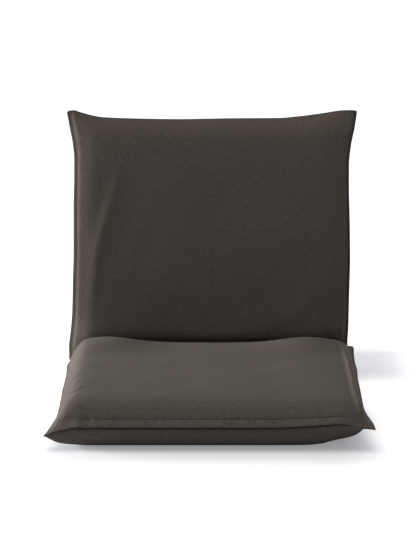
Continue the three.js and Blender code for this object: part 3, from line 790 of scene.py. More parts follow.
class ZipLine:
    """The straight line that the zip lies along, on the front slope of the seat."""

    MIDDLE = (0.0, -183.8, 37.9)
    DOWN = (0.0, -0.728206, -0.685358)
    OUT = (0.0, -0.685358, 0.728206)
    TILT = -math.atan2(OUT[1], OUT[2])

    @classmethod
    def places(cls, points: np.ndarray) -> tuple[np.ndarray, np.ndarray, np.ndarray]:
        """Measures points across, down the slope and out of the cloth.

        Args:
            points: The points, with X, Y and Z last.

        Returns:
            The three distances from the zip's middle.
        """
        away = points - np.array(cls.MIDDLE)
        return away[..., 0], away @ np.array(cls.DOWN), away @ np.array(cls.OUT)

    @classmethod
    def point(cls, across: float, down: float, out: float) -> list[float]:
        """The place that is so far across, down the slope and out of the cloth."""
        place = np.array(cls.MIDDLE) + np.array(cls.DOWN) * down + np.array(cls.OUT) * out
        return [across, place[1], place[2]]


@dataclass
class SlipCover:
    """The sewn cotton cover, one closed bag from the front seam over the fold to the top seam.

    Its stations run from the front seam, 0, over the fold, 1 to 2, to the top seam, 3, and across
    from the left seam, -1, to the right seam, 1.
    """

    half_columns: int = 68
    edge_crowding: float = 1.45
    press_columns: Sequence[float] = (0.005, 0.01, 0.015, 0.025)
    seam_shade_width: float = 2.3
    seat_rows: np.ndarray = field(default_factory=lambda: steps_between(
        (0, 26, 0.8), (26, 350, 2.7), (350, 420, 2.0)))
    fold_rows: int = 14
    back_rows: np.ndarray = field(default_factory=lambda: steps_between(
        (0, 40, 2.2), (40, 146, 3.2), (146, 162, 1.2), (162, 270, 3.2), (270, 300, 2.0),
        (300, 325, 1.0)))
    seat_top: Table = (
        (-195.5, 29.3), (-192, 31.7), (-189, 33.6), (-186, 35.6), (-183, 37.9), (-177.5, 42.9),
        (-171, 47.4), (-163, 51.2), (-152, 54.6), (-135, 57.2), (-112, 59.2), (-70, 61.4),
        (-15, 63.2), (45, 64.4), (90, 64.2), (120, 62.2), (143, 59.4), (158, 57.0), (168, 55.0),
        (173.5, 52.8), (176.8, 50.6))
    seat_base: Table = (
        (-195.5, 29.3), (-194, 23), (-190, 15.5), (-183.5, 8.5), (-176, 3.4), (-168, 0.8),
        (-158, 0.05), (-140, 0.0), (-40, 0.0), (60, 0.0), (140, 0.0), (168, 0.4), (182, 1.9),
        (193.1, 5.1))
    back_front: Table = (
        (18.5, 20.0), (20.5, 23), (24, 25.6), (30, 27), (40, 27.6), (58, 27.8), (108, 28.1),
        (150, 28.4),
        (195, 27.9), (238, 27.2), (266, 26.4), (284, 25.2), (294, 23.6), (302, 20.2),
        (309, 14.6), (314.5, 8.3), (318, 3.0), (319.6, 0.0))
    back_rear: Table = (
        (1.9, -26.9), (14, -30.4), (34, -32.0), (110, -32.6), (200, -31.4), (256, -28.0),
        (284, -22.6), (302, -14.4), (313, -6.8), (319.6, 0.0))
    left_seam: Table = (
        (-204.4, -196, 27.2), (-200.4, -188, 28.2), (-197.1, -180, 28.9), (-194.0, -168, 28.9),
        (-191.4, -152, 29.0), (-189.2, -132, 29.4), (-188.5, -80, 30.2), (-188.7, 0, 31),
        (-188.1, 80, 30.5), (-189.2, 120, 29), (-190.4, 150, 27), (-188.8, 172, 25))
    right_seam: Table = (
        (206.8, -196, 28.9), (206.2, -182, 29.3), (205.0, -168, 29.5), (202.2, -146, 29.6),
        (199.4, -124, 29.8), (197.5, -90, 30.2), (197.7, 0, 31), (197.4, 45, 32),
        (198.3, 100, 34), (197.0, 130, 37.5), (196.8, 150, 42), (197.4, 170, 47.0))
    left_fold: Table = ((-188.8, 172, 25), (-188.2, 181, 22), (-187.6, 189, 20),
                        (-187.4, 195, 23), (-187.6, 197.4, 31.5), (-187.6, 196, 42),
                        (-187.4, 195.0, 51.4))
    right_fold: Table = ((197.4, 170, 47.0), (196.0, 183, 46.4), (191.4, 191, 44.6),
                         (188.2, 195.4, 45.8), (188.0, 196.0, 51.2))
    left_back_seam: Table = (
        (-187.0, 19, 4), (-184.4, 40, 11), (-182.8, 60, 16), (-181.8, 100, 18.5), (-180.8, 141, 19),
        (-180.8, 202, 19), (-180.0, 243, 18.4), (-180.0, 263, 17.4), (-182.2, 283, 15.5),
        (-186.5, 301, 10.2), (-191.0, 319, 0))
    right_back_seam: Table = (
        (188.0, 19, 3), (189.2, 40, 11), (189.6, 66, 17), (190.4, 100, 20), (191.2, 130, 20.5),
        (190.8, 176, 20.5), (190.2, 203, 20.5), (189.7, 230, 19.5), (189.8, 256, 17.8),
        (192.2, 278, 15.6), (198.0, 301, 10.0), (201.8, 319, 0))
    bulge: Table = ((0, 0.4), (60, 0.3), (243, 0.3), (319, 0.0))
    bulge_depth: float = 5.5
    bulge_from: float = 1.3
    bulge_blend: float = 0.25
    top_edge: Table = (
        (-195, 9.6), (-190, 13.6), (-183, 14.0), (-175, 11.6), (-160, 7.2), (-144.7, 4.4),
        (-114, 2.9), (-40, 1.6), (35, 2.8), (95, 3.1), (125.6, 5.7), (155.6, 9.6), (185, 13.8),
        (198, 14.2), (205, 13.2))
    front_lift: Table = (
        (-206, -7.8), (-196, -5.2), (-180, -2.0), (-160, 0.8), (-150, -0.5), (-140, 0.2),
        (-120, 0), (80, 0), (113, 1.4), (144, 3.3), (163, 4.8), (175, 3.8), (190, 0.6), (207, -0.6))
    front_reach: Table = ((-206, -5), (-190, -2.2), (-165, 0), (165, 0), (190, -1.6), (207, -4))
    corner_share: Table = ((-196, 1.0), (-165, 0.9), (-140, 0.3), (-115, 0), (400, 0))
    corner_edge: Table = ((0, 0), (9, 0.10), (22, 0.32), (36, 0.55), (50, 0.78), (63, 0.93),
                          (82, 1))
    tip_edge: Table = ((0, 0), (0.8, 0.48), (2, 0.7), (4, 0.82), (8, 0.89), (15, 0.93), (24, 0.96),
                       (44, 1))
    left_edge: Table = ((0, 0), (2, 0.1), (4, 0.22), (7, 0.4), (11, 0.6), (15, 0.765),
                        (19, 0.885), (23, 0.95), (28, 0.983), (37, 1))
    wing_edge: Table = ((0, 0), (2.5, 0.13), (5.5, 0.32), (9, 0.58), (13, 0.8), (18, 0.92),
                        (25, 0.975), (36, 1))
    wing_from: float = -143.0
    wing_slant: float = 1.15
    wing_blend: float = 9.0
    right_edge: Table = ((0, 0), (3, 0.1), (6, 0.28), (9, 0.55), (11.5, 0.8), (13.5, 0.89),
                         (17, 0.92), (24, 0.945), (34, 0.965), (50, 0.985), (78, 1))
    back_edge: Table = ((0, 0), (1, 0.06), (4.4, 0.22), (5.5, 0.38), (7, 0.46), (14, 0.68),
                        (22, 0.87), (30, 0.96), (42, 1))
    under_edge: Table = ((0, 0), (3, 0.3), (7, 0.56), (13, 0.8), (20, 0.92), (30, 0.98), (44, 1))
    seat_run: float = 385.0
    rear_edge: Table = ((0, 0), (2.5, 0.1), (5.5, 0.26), (9, 0.5), (13, 0.7), (20, 0.87),
                        (30, 0.96), (44, 1))
    hump_height: float = 9.5
    hump_from_middle: float = 134.0
    hump_across: float = 52.0
    hump_at: float = 140.0
    hump_to_fold: float = 32.0
    hump_to_front: float = 52.0
    hump_shoulder: float = 26.0
    groove_reach: Pair = (168.5, 9.8)
    groove_slope: float = 1.4
    groove_depth: float = 7.2
    groove_within: float = 0.1
    front_fold_angles: Pair = (134.4, 125.3)
    rear_fold_angles: Pair = (266.0, 352.0)
    front_fold_dip: float = 3.2
    rear_fold_dip: float = -0.6
    front_fold_inset: float = -1.0
    front_fold_widening: float = 1.2
    front_seam_ahead: float = 195.5
    seat_cloth: float = 400.0
    top_from: float = 2.66
    top_blend: float = 0.34
    top_power: float = 2.2
    front_blend: float = 30.0
    hold_width: float = 9.0
    end_blends: Pair = (0.03, 0.05)
    seat_blend: float = 0.08
    back_blend: float = 0.06
    hump_blend: float = 0.05
    hump_power: float = 0.8
    seat_ripple: Ripple = Ripple(11, 0.28, 70)
    back_ripple: Ripple = Ripple(12, 0.4, 95)
    rear_ripple: Ripple = Ripple(13, 0.5, 80)
    under_uv: Pair = (0.0, 2000.0)
    seat_creases: Sequence[Crease] = (
        Crease(((-168, 40), (-178, 18), (-187, -10)), 1.2, 5.0),
        Crease(((-165, -26), (-177, -48), (-187, -70)), 1.3, 4.5),
        Crease(((-163, -66), (-176, -86), (-187, -104)), 1.0, 4.5),
        Crease(((-158, -98), (-170, -112), (-180, -123), (-190, -134)), 1.2, 2.4),
        Crease(((176, 150), (181.2, 81), (183.0, 10), (183.9, -57), (185, -126), (188, -164),
                (190.6, -184)), 3.8, 3.2),
        Crease(((190, 100), (191.5, 15), (191.5, -60), (193.5, -130)), -1.0, 3.0),
    )
    corner_creases: Sequence[Crease] = (
        Crease(((-186, 8), (-170, 6.5), (-152, 4)), 1.3, 2.4),
        Crease(((-153, 3.5), (-145.5, 9.5), (-132, 17)), 1.4, 2.6),
        Crease(((-158, 10), (-150, 15), (-142, 18)), -1.0, 3.5),
        Crease(((162, 3), (171, 6), (182, 11)), 1.2, 2.4),
        Crease(((155, 7), (163, 12), (170, 15)), -0.8, 3.0),
    )
    back_creases: Sequence[Crease] = (
        Crease(((-118, 262), (-126, 226), (-141, 176), (-150, 140), (-158, 60)), 1.9, 8.0),
        Crease(((-100, 205), (-112, 170), (-122, 125)), -1.0, 12.0),
        Crease(((-60, 190), (-84, 140), (-98, 90)), -0.8, 18.0),
        Crease(((128, 76), (158, 42), (178, 22)), 1.7, 8.0),
        Crease(((60, 40), (110, 52), (150, 84)), 0.9, 14.0),
        Crease(((174, 52), (182, 34), (184, 22)), 1.2, 4.0),
        Crease(((-190, 171), (190, 170)), 0.25, 1.5),
        Crease(((2.5, 20), (2.5, 310)), 0.08, 1.8),
        Crease(((183.2, 34), (183.6, 120), (183.6, 200), (183, 262)), 0.6, 1.9),
        Crease(((-168, 292), (-180, 308)), 0.8, 5.0),
        Crease(((178, 290), (192, 310)), 0.9, 5.0),
    )

    def shares(self) -> np.ndarray:
        """Stations from the front seam, 0, over the fold, 1 to 2, to the top seam, 3."""
        fold = 1 + np.arange(1, self.fold_rows) / self.fold_rows
        return np.concatenate([self.seat_rows, fold, 2 + self.back_rows])

    def columns(self) -> np.ndarray:
        """Stations from the left seam, -1, to the right seam, 1, closer together at the seams."""
        return crowded(self.half_columns, self.edge_crowding, self.press_columns)

    def seat_length(self) -> float:
        """The length of the seat's sitting face along its middle, in millimetres."""
        rows = np.array(self.seat_top)
        return float(np.linalg.norm(np.diff(rows, axis=0), axis=1).sum())

    @staticmethod
    def joined(v: np.ndarray, *parts: np.ndarray) -> np.ndarray:
        """Each station's row, from those given for the seat, the fold and the back."""
        seat, fold, back = parts
        return np.where((v <= 1)[:, None], seat, np.where((v < 2)[:, None], fold, back))

    def middle(self, face: Face, v: np.ndarray) -> np.ndarray:
        """The cover's line along its middle, as Y and Z.

        Args:
            face: Which sheet.
            v: Stations along the cover.

        Returns:
            One row of Y and Z for each station.
        """
        sitting = face is Face.SITTING
        seat = curve_through(self.seat_top if sitting else self.seat_base, np.clip(v, 0, 1))
        local = curve_through(self.back_front if sitting else self.back_rear,
                              np.clip(v - 2, 0, 1))
        back = np.column_stack(back_to_world(local[:, 0], local[:, 1]))
        turn = np.clip(v - 1, 0, 1)
        start, end = self.front_fold_angles if sitting else self.rear_fold_angles
        dip = self.front_fold_dip if sitting else self.rear_fold_dip
        wider = self.front_fold_widening * turn + self.front_fold_inset if sitting else 0.0
        angle = np.radians(start + (end - start) * turn)
        radius = HUB_RADIUS + wider - dip * np.sin(np.pi * turn)
        fold = np.column_stack([HINGE_Y + radius * np.cos(angle),
                                HINGE_Z + radius * np.sin(angle)])
        return self.joined(v, seat, fold, back)

    def seam(self, side: Side, v: np.ndarray) -> np.ndarray:
        """The side seam, as X, Y and Z.

        Args:
            side: Which side.
            v: Stations along the cover.

        Returns:
            One row of X, Y and Z for each station.
        """
        left = side is Side.LEFT
        seat = curve_through(self.left_seam if left else self.right_seam, np.clip(v, 0, 1))
        fold = curve_through(self.left_fold if left else self.right_fold, np.clip(v - 1, 0, 1))
        local = curve_through(self.left_back_seam if left else self.right_back_seam,
                              np.clip(v - 2, 0, 1))
        back = np.column_stack([local[:, 0], *back_to_world(local[:, 1], local[:, 2])])
        return self.joined(v, seat, fold, back)

    def fullness(self, face: Face, side: Side, v: np.ndarray, inward: np.ndarray) -> np.ndarray:
        """How far the cloth has risen from the side seam to its middle, from 0 to 1.

        Args:
            face: Which sheet.
            side: Which side's seam the distance is from.
            v: Stations along the cover, one column.
            inward: Distances from the seam.

        Returns:
            The share of its full height at each place.
        """
        sitting = face is Face.SITTING
        place = np.clip(v, 0, 1) * self.seat_run - self.front_seam_ahead
        if sitting and side is Side.LEFT:
            ahead = (self.wing_from + self.wing_slant * inward - place) / self.wing_blend
            wing = np.clip(ahead, 0, 1)
            seat = eased(self.left_edge, inward)
            seat = seat + (eased(self.wing_edge, inward) - seat) * wing
        elif sitting:
            seat = eased(self.right_edge, inward)
        else:
            corner = eased(self.corner_share, place)
            drawn = self.corner_edge if side is Side.RIGHT else self.tip_edge
            seat = eased(self.under_edge, inward)
            seat = seat * (1 - corner) + eased(drawn, inward) * corner
        back = eased(self.back_edge if sitting else self.rear_edge, inward)
        turn = smooth(np.clip(v - 1, 0, 1))
        return seat * (1 - turn) + back * turn

    def sheet(self, face: Face, v: np.ndarray,
              u: np.ndarray) -> tuple[np.ndarray, np.ndarray, np.ndarray]:
        """One sheet of the cover, or a part of it.

        Args:
            face: Which sheet.
            v: Stations along it.
            u: Stations across it.

        Returns:
            Its grid of points, its flat cloth coordinates and its nearness to a seam, which sets
            the painted shade along the seams.
        """
        middle = self.middle(face, v)
        grid = np.zeros((len(v), len(u), 3))
        inward = np.zeros((len(v), len(u)))
        for side in Side:
            seam = self.seam(side, v)
            chosen = (u <= 0) if side is Side.LEFT else (u >= 0)
            share = np.abs(u[chosen])[None, :]
            depth = np.abs(seam[:, 0])[:, None] * (1 - share)
            full = self.fullness(face, side, v[:, None], depth)
            x = seam[:, 0][:, None] * share
            y = seam[:, 1][:, None] * (1 - full) + middle[:, 0][:, None] * full
            z = seam[:, 2][:, None] * (1 - full) + middle[:, 1][:, None] * full
            if face is Face.UNDER:
                swell = eased(self.bulge, np.clip(v - 2, 0, 1) * BACK_RUN) + self.bulge_depth
                swell = swell * np.clip((v - self.bulge_from) / self.bulge_blend, 0, 1)
                deep = depth / self.bulge_depth
                x = x + side.value * swell[:, None] * deep * np.exp(1 - deep)
            grid[:, chosen] = np.stack([x, y, z], axis=2)
            inward[:, chosen] = depth
        self.shape_ends(grid, v)
        self.add_creases(grid, face, v, inward)
        flat = self.flat_places(grid)
        # Nearness to the side, front and top seams, which sets the painted shade along them.
        ends = np.minimum(np.abs(v) * self.seat_cloth, np.abs(3 - v) * BACK_RUN)[:, None]
        near = np.minimum(inward, ends)
        return grid, flat, np.exp(-((near / self.seam_shade_width) ** 2))

    def shape_ends(self, grid: np.ndarray, v: np.ndarray) -> None:
        """Draws the top edge and the front edge into their corners.

        Args:
            grid: The sheet's points, changed in place.
            v: Stations along the cover.
        """
        x = grid[:, :, 0]
        up = np.clip((v - self.top_from) / self.top_blend, 0, 1)[:, None] ** self.top_power
        rise = eased(self.top_edge, x) * up
        grid[:, :, 1] += rise * math.cos(BACK_ANGLE)
        grid[:, :, 2] += rise * math.sin(BACK_ANGLE)
        front = np.exp(-((v * self.seat_cloth / self.front_blend) ** 2))[:, None]
        grid[:, :, 2] += eased(self.front_lift, x) * front
        grid[:, :, 1] += eased(self.front_reach, x) * front

    def add_creases(self, grid: np.ndarray, face: Face, v: np.ndarray,
                    inward: np.ndarray) -> None:
        """Adds humps, creases and slow waves, which die away at the front and top seams.

        Args:
            grid: The sheet's points, changed in place.
            face: Which sheet.
            v: Stations along the cover.
            inward: Distances from the side seams.
        """
        normals = grid_normals(grid) * face.value
        x, y, z = grid[:, :, 0], grid[:, :, 1], grid[:, :, 2]
        along = world_to_back(y, z)[0]
        held = 1 - np.exp(-((inward / self.hold_width) ** 2))
        front, top = self.end_blends
        ends = np.clip(np.minimum(v / front, (3 - v) / top), 0, 1)[:, None]
        on_seat = np.clip((1 - v) / self.seat_blend, 0, 1)[:, None]
        on_back = np.clip((v - 2) / self.back_blend, 0, 1)[:, None]
        rise = np.zeros(x.shape)
        if face is Face.SITTING:
            for crease in self.seat_creases:
                rise += crease.rise(x, y) * on_seat
            for crease in self.back_creases:
                rise += crease.rise(x, along) * on_back
            rise += self.seat_ripple.rise(x, y) * on_seat * held
            rise += self.back_ripple.rise(x, along) * on_back * held
            across = np.exp(-(((np.abs(x) - self.hump_from_middle) / self.hump_across) ** 2))
            spread = np.where(y > self.hump_at, self.hump_to_fold, self.hump_to_front)
            lifted = self.hump_height * across * np.exp(-(((y - self.hump_at) / spread) ** 2))
            shoulder = np.clip(inward / self.hump_shoulder, 0, 1) ** self.hump_power
            to_fold = np.clip((1 - v) / self.hump_blend, 0, 1)[:, None]
            grid[:, :, 2] += lifted * shoulder * smooth(to_fold)
        else:
            rise += self.rear_ripple.rise(x, along) * on_back * held
            from_seam = np.broadcast_to(v[:, None] * self.seat_length(), x.shape)
            for crease in self.corner_creases:
                rise += crease.rise(x, from_seam) * on_seat
        grid += normals * (rise * ends)[:, :, None]
        if face is Face.UNDER:
            on_floor = (v <= 1)[:, None]
            grid[:, :, 2] = np.where(on_floor, np.maximum(grid[:, :, 2], 0.0), grid[:, :, 2])

    def sink_zip(self, grid: np.ndarray, v: np.ndarray) -> None:
        """Opens the groove under the flap that the zip lies in.

        Args:
            grid: The sitting sheet's points, changed in place.
            v: Stations along the cover.
        """
        x, along, out = ZipLine.places(grid)
        walls = np.clip((self.groove_reach[1] - np.abs(along)) / self.groove_slope, 0, 1)
        ends = np.clip((self.groove_reach[0] - np.abs(x)) / self.groove_slope, 0, 1)
        deep = np.maximum(out + self.groove_depth, 0) * walls * ends
        deep = deep * (v < self.groove_within)[:, None]
        grid -= deep[:, :, None] * np.array(ZipLine.OUT)

    @staticmethod
    def flat_places(grid: np.ndarray) -> np.ndarray:
        """Where each point is on the flat cloth, in millimetres.

        Args:
            grid: The sheet's points.

        Returns:
            Distance across and along the cloth for each point.
        """
        steps = np.linalg.norm(np.diff(grid, axis=1), axis=2)
        across = np.concatenate([np.zeros((len(grid), 1)), np.cumsum(steps, axis=1)], axis=1)
        across -= across[:, across.shape[1] // 2][:, None]
        centre = grid[:, grid.shape[1] // 2]
        lengths = np.linalg.norm(np.diff(centre, axis=0), axis=1)
        along = np.concatenate([[0.0], np.cumsum(lengths)])
        return np.stack([across, np.broadcast_to(along[:, None], across.shape)], axis=2)

    def build(self, cloth: bpy.types.Material) -> bpy.types.Object:
        """Sews the two sheets into one closed bag, with a groove for the zip.

        Args:
            cloth: The cover's finish.

        Returns:
            The cover.
        """
        v, u = self.shares(), self.columns()
        top, top_flat, top_seam_shade = self.sheet(Face.SITTING, v, u)
        under, under_flat, under_seam_shade = self.sheet(Face.UNDER, v, u)
        self.sink_zip(top, v)
        points, faces, inside = bag_of(top, under)
        made = make_mesh("cotton_cover", points, faces, cloth)
        set_uv(made, np.concatenate([top_flat.reshape(-1, 2), under_flat[inside] + self.under_uv]))
        # Painted shade along the seams, read by the cloth's material.
        set_attribute(made, "painted_seam_shade", np.concatenate([top_seam_shade.ravel(), under_seam_shade[inside]]))
        return made


@dataclass
class RowTree:
    """Geometry Nodes that set small rounded pieces in a row along a line."""

    ring_sides: int = 8
    tree: bpy.types.GeometryNodeTree = field(init=False)

    def __post_init__(self) -> None:
        """Builds the tree with its named inputs."""
        self.tree = bpy.data.node_groups.new("row_along_a_line", "GeometryNodeTree")
        for name, kind, way in (
                ("Line", "Geometry", "INPUT"), ("Spacing", "Float", "INPUT"),
                ("Size", "Vector", "INPUT"), ("Turn", "Vector", "INPUT"),
                ("Finish", "Material", "INPUT"), ("Row", "Geometry", "OUTPUT")):
            self.tree.interface.new_socket(name, in_out=way, socket_type="NodeSocket" + kind)
        nodes = self.tree.nodes
        given = nodes.new("NodeGroupInput").outputs
        curve = nodes.new("GeometryNodeMeshToCurve")
        stops = nodes.new("GeometryNodeCurveToPoints")
        stops.mode = "LENGTH"
        bead = nodes.new("GeometryNodeMeshUVSphere")
        bead.inputs["Segments"].default_value = self.ring_sides
        bead.inputs["Rings"].default_value = self.ring_sides // 2 + 1
        bead.inputs["Radius"].default_value = 0.5
        turned = nodes.new("FunctionNodeEulerToRotation")
        placed = nodes.new("GeometryNodeInstanceOnPoints")
        solid = nodes.new("GeometryNodeRealizeInstances")
        shaded = nodes.new("GeometryNodeSetShadeSmooth")
        finish = nodes.new("GeometryNodeSetMaterial")
        result = nodes.new("NodeGroupOutput")
        for source, socket in (
                (given["Line"], curve.inputs["Mesh"]),
                (curve.outputs["Curve"], stops.inputs["Curve"]),
                (given["Spacing"], stops.inputs["Length"]),
                (stops.outputs["Points"], placed.inputs["Points"]),
                (bead.outputs["Mesh"], placed.inputs["Instance"]),
                (given["Turn"], turned.inputs[0]),
                (turned.outputs[0], placed.inputs["Rotation"]),
                (given["Size"], placed.inputs["Scale"]),
                (placed.outputs["Instances"], shaded.inputs["Geometry"]),
                (shaded.outputs["Geometry"], solid.inputs["Geometry"]),
                (solid.outputs["Geometry"], finish.inputs["Geometry"]),
                (given["Finish"], finish.inputs["Material"]),
                (finish.outputs["Geometry"], result.inputs["Row"])):
            self.tree.links.new(source, socket)

    def row(self, name: str, line: np.ndarray, spacing: float, size: Place, turn: float,
            finish: bpy.types.Material) -> bpy.types.Object:
        """Makes one row as a plain mesh.

        Args:
            name: The piece's name.
            line: The points of its line, in millimetres.
            spacing: The distance from one to the next.
            size: Each one's length, width and height.
            turn: How far each is turned about X, in radians.
            finish: Its material.

        Returns:
            The piece.
        """
        mesh = bpy.data.meshes.new(name)
        links = [(n, n + 1) for n in range(len(line) - 1)]
        mesh.from_pydata((np.asarray(line) * MM).tolist(), links, [])
        made = bpy.data.objects.new(name, mesh)
        bpy.context.scene.collection.objects.link(made)
        modifier = made.modifiers.new("row", "NODES")
        modifier.node_group = self.tree
        values = {"Spacing": spacing * MM, "Size": tuple(side * MM for side in size),
                  "Turn": (turn, 0.0, 0.0), "Finish": finish}
        for socket in self.tree.interface.items_tree:
            if socket.name in values:
                modifier[socket.identifier] = values[socket.name]
        seen = made.evaluated_get(bpy.context.evaluated_depsgraph_get())
        plain = bpy.data.meshes.new_from_object(seen)
        made.modifiers.remove(modifier)
        made.data = plain
        LOG.info("%s has %d faces", name, len(plain.polygons))
        return made


@dataclass
class Placket:
    """The flap along the front of the seat that covers the zip, with its row of top stitching."""

    half_span: float = 0.925
    across_step: float = 1.5
    length: float = 30.0
    along_step: float = 0.75
    rise: Table = ((0, 2.1), (2, 2.3), (8, 1.9), (13, 1.1), (19, 0.95), (25, 0.6), (28.5, 0.15),
                   (30, -0.35))
    edge_sink: float = 0.6
    edge_run: float = 4.0
    thickness: float = 0.85
    hem_thickness: float = 0.3
    stitch_at: float = 14.2
    stitch_depth: float = 0.75
    stitch_width: float = 1.1
    stitch_from: float = -156.0
    stitch_to: float = 169.0
    stitch_blend: float = 4.0
    end_fade: Pair = (150.0, 184.0)
    end_rise: float = 0.35
    hem_run: float = 6.0
    nominal_half: float = 200.0
    pucker_seed: int = 5
    pucker_count: int = 26
    pucker_height: float = 0.55
    pucker_heights: Pair = (0.35, 1.3)
    pucker_sunken: float = 0.3
    pucker_margins: Pair = (4.0, 6.0)
    pucker_scatter: float = 4.5
    pucker_slants: Pair = (-9.0, 5.0)
    pucker_ends: Pair = (0.5, 1.5)
    pucker_width: float = 1.7
    line_shade: float = 0.55
    shade_width: float = 0.9
    shade_blend: float = 6.0
    inner_uv: Pair = (0.0, 500.0)
    flat_size: Pair = (0.378, 0.031)
    folded_share: float = 0.2
    stitch_pitch: float = 2.6
    stitch_size: Place = (2.0, 0.5, 0.45)

    def puckers(self) -> list[Crease]:
        """Short slanting wrinkles that the stitching draws in the hem.

        Returns:
            The wrinkles, across by distance from the seam.
        """
        draw = np.random.default_rng(self.pucker_seed)
        count = self.pucker_count
        first, last = self.pucker_margins
        starts = np.linspace(self.stitch_from + first, self.stitch_to - last, count)
        starts = starts + draw.uniform(-self.pucker_scatter, self.pucker_scatter, count)
        slants = draw.uniform(*self.pucker_slants, count)
        heights = self.pucker_height * draw.uniform(*self.pucker_heights, count)
        heights = heights * np.where(draw.uniform(0, 1, count) < self.pucker_sunken, -1, 1)
        past, short = self.pucker_ends
        return [Crease(((x, self.stitch_at + past), (x + slant, short)), float(height),
                       self.pucker_width)
                for x, slant, height in zip(starts, slants, heights)]

    def sewn_run(self, x: np.ndarray, blend: float, lead: float = 0.0) -> np.ndarray:
        """Where the stitching runs: 1 between its ends and 0 past them.

        Args:
            x: Places across the flap.
            blend: How far it takes to fade at each end.
            lead: How much of the fade lies past the end.

        Returns:
            The share at each place.
        """
        inside = np.minimum(x - self.stitch_from, self.stitch_to - x)
        return np.clip(inside / blend + lead, 0, 1)

    def surfaces(self, cover: SlipCover) -> tuple[np.ndarray, np.ndarray, np.ndarray]:
        """The flap's outer and inner faces, laid over the cover's front slope.

        Args:
            cover: The cover that it is sewn to.

        Returns:
            Both grids of points, and the distance of each point from the front seam.
        """
        away = np.arange(0, self.length + self.along_step / 2, self.along_step)
        v = away / cover.seat_length()
        count = int(round(2 * self.half_span * self.nominal_half / self.across_step))
        u = np.linspace(-self.half_span, self.half_span, count + 1)
        grid = cover.sheet(Face.SITTING, v, u)[0]
        normals = grid_normals(grid)
        x = grid[:, :, 0]
        distance = np.broadcast_to(away[:, None], x.shape)
        low, high = self.end_fade
        fade = smooth(1 - np.clip((np.abs(x) - low) / (high - low), 0, 1))
        full_rise = eased(self.rise, distance)
        low_rise = np.minimum(full_rise, self.end_rise)
        height = low_rise + (full_rise - low_rise) * fade
        to_end = (self.half_span - np.abs(u)[None, :]) * self.nominal_half / self.edge_run
        height = height - self.edge_sink * (1 - np.clip(to_end, 0, 1)) ** 2
        line = np.exp(-(((distance - self.stitch_at) / self.stitch_width) ** 2))
        height = height - self.stitch_depth * line * self.sewn_run(x, self.stitch_blend, 0.5)
        for pucker in self.puckers():
            height = height + pucker.rise(x, distance) * fade
        edge = np.clip((self.length - distance) / self.hem_run, 0, 1)
        thick = self.hem_thickness + (self.thickness - self.hem_thickness) * fade * edge
        outer = grid + normals * height[:, :, None]
        inner = grid + normals * (height - thick)[:, :, None]
        return outer, inner, distance

    def build(self, cover: SlipCover, sewn_to: bpy.types.Object, rows: RowTree,
              materials: dict[str, bpy.types.Material]) -> bpy.types.Object:
        """Makes the flap and its stitches.

        Args:
            cover: The cover's shape.
            sewn_to: The cover; not used.
            rows: The tree that sets the stitches.
            materials: The finishes.

        Returns:
            The flap.
        """
        outer, inner, distance = self.surfaces(cover)
        points, faces = shell_between(outer, inner)
        flap = make_mesh("front_flap", points, faces, materials["cotton"])
        flat = np.stack([outer[:, :, 0], distance], axis=2).reshape(-1, 2)
        set_uv(flap, np.concatenate([flat, flat + self.inner_uv]))
        # Painted shade along the stitch line, where the stitching's valley is in shade, on both
        # faces of the flap.
        line = np.exp(-(((distance - self.stitch_at) / self.shade_width) ** 2))
        line = line * self.sewn_run(outer[:, :, 0], self.shade_blend)
        near = (line * self.line_shade).ravel()
        set_attribute(flap, "painted_seam_shade", np.concatenate([near, near]))
        on_line = outer[int(round(self.stitch_at / self.along_step))]
        chosen = (on_line[:, 0] > self.stitch_from) & (on_line[:, 0] < self.stitch_to)
        stitches = rows.row("top_stitches", on_line[chosen], self.stitch_pitch,
                            self.stitch_size, ZipLine.TILT, materials["thread"])
        anchor = tuple(c * MM for c in ZipLine.point(0, self.stitch_at - self.length, 0))
        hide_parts("placket_flap")
        for piece in (flap, stitches):
            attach(piece, "seat")
            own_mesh(piece)
        LOG.info("flap has %d faces", len(flap.data.polygons))
        return flap


@dataclass
class ZipTeeth:
    """The zip's nylon coil, turn by turn."""

    half_length: float = 146.4
    pitch: float = 1.5
    size: Place = (0.95, 3.3, 1.5)
    out: float = -4.3
    points: int = 40

    def build(self, rows: RowTree, nylon: bpy.types.Material) -> bpy.types.Object:
        """Sets the turns along the zip.

        Args:
            rows: The tree that sets them.
            nylon: Their finish.

        Returns:
            The row of teeth.
        """
        across = np.linspace(-self.half_length, self.half_length, self.points)
        line = np.array([ZipLine.point(x, 0, self.out) for x in across])
        teeth = rows.row("zip_teeth", line, self.pitch, self.size, ZipLine.TILT, nylon)
        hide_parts("zip_coil")
        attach(teeth, "seat")
        return teeth


@dataclass(frozen=True)
class FoamLayer:
    """Where one layer of foam lies: over or under the frame, in the seat or the back."""

    name: str
    node: str
    half: Half
    face: Face
    start: float
    end: float
    half_width: float = 174.0


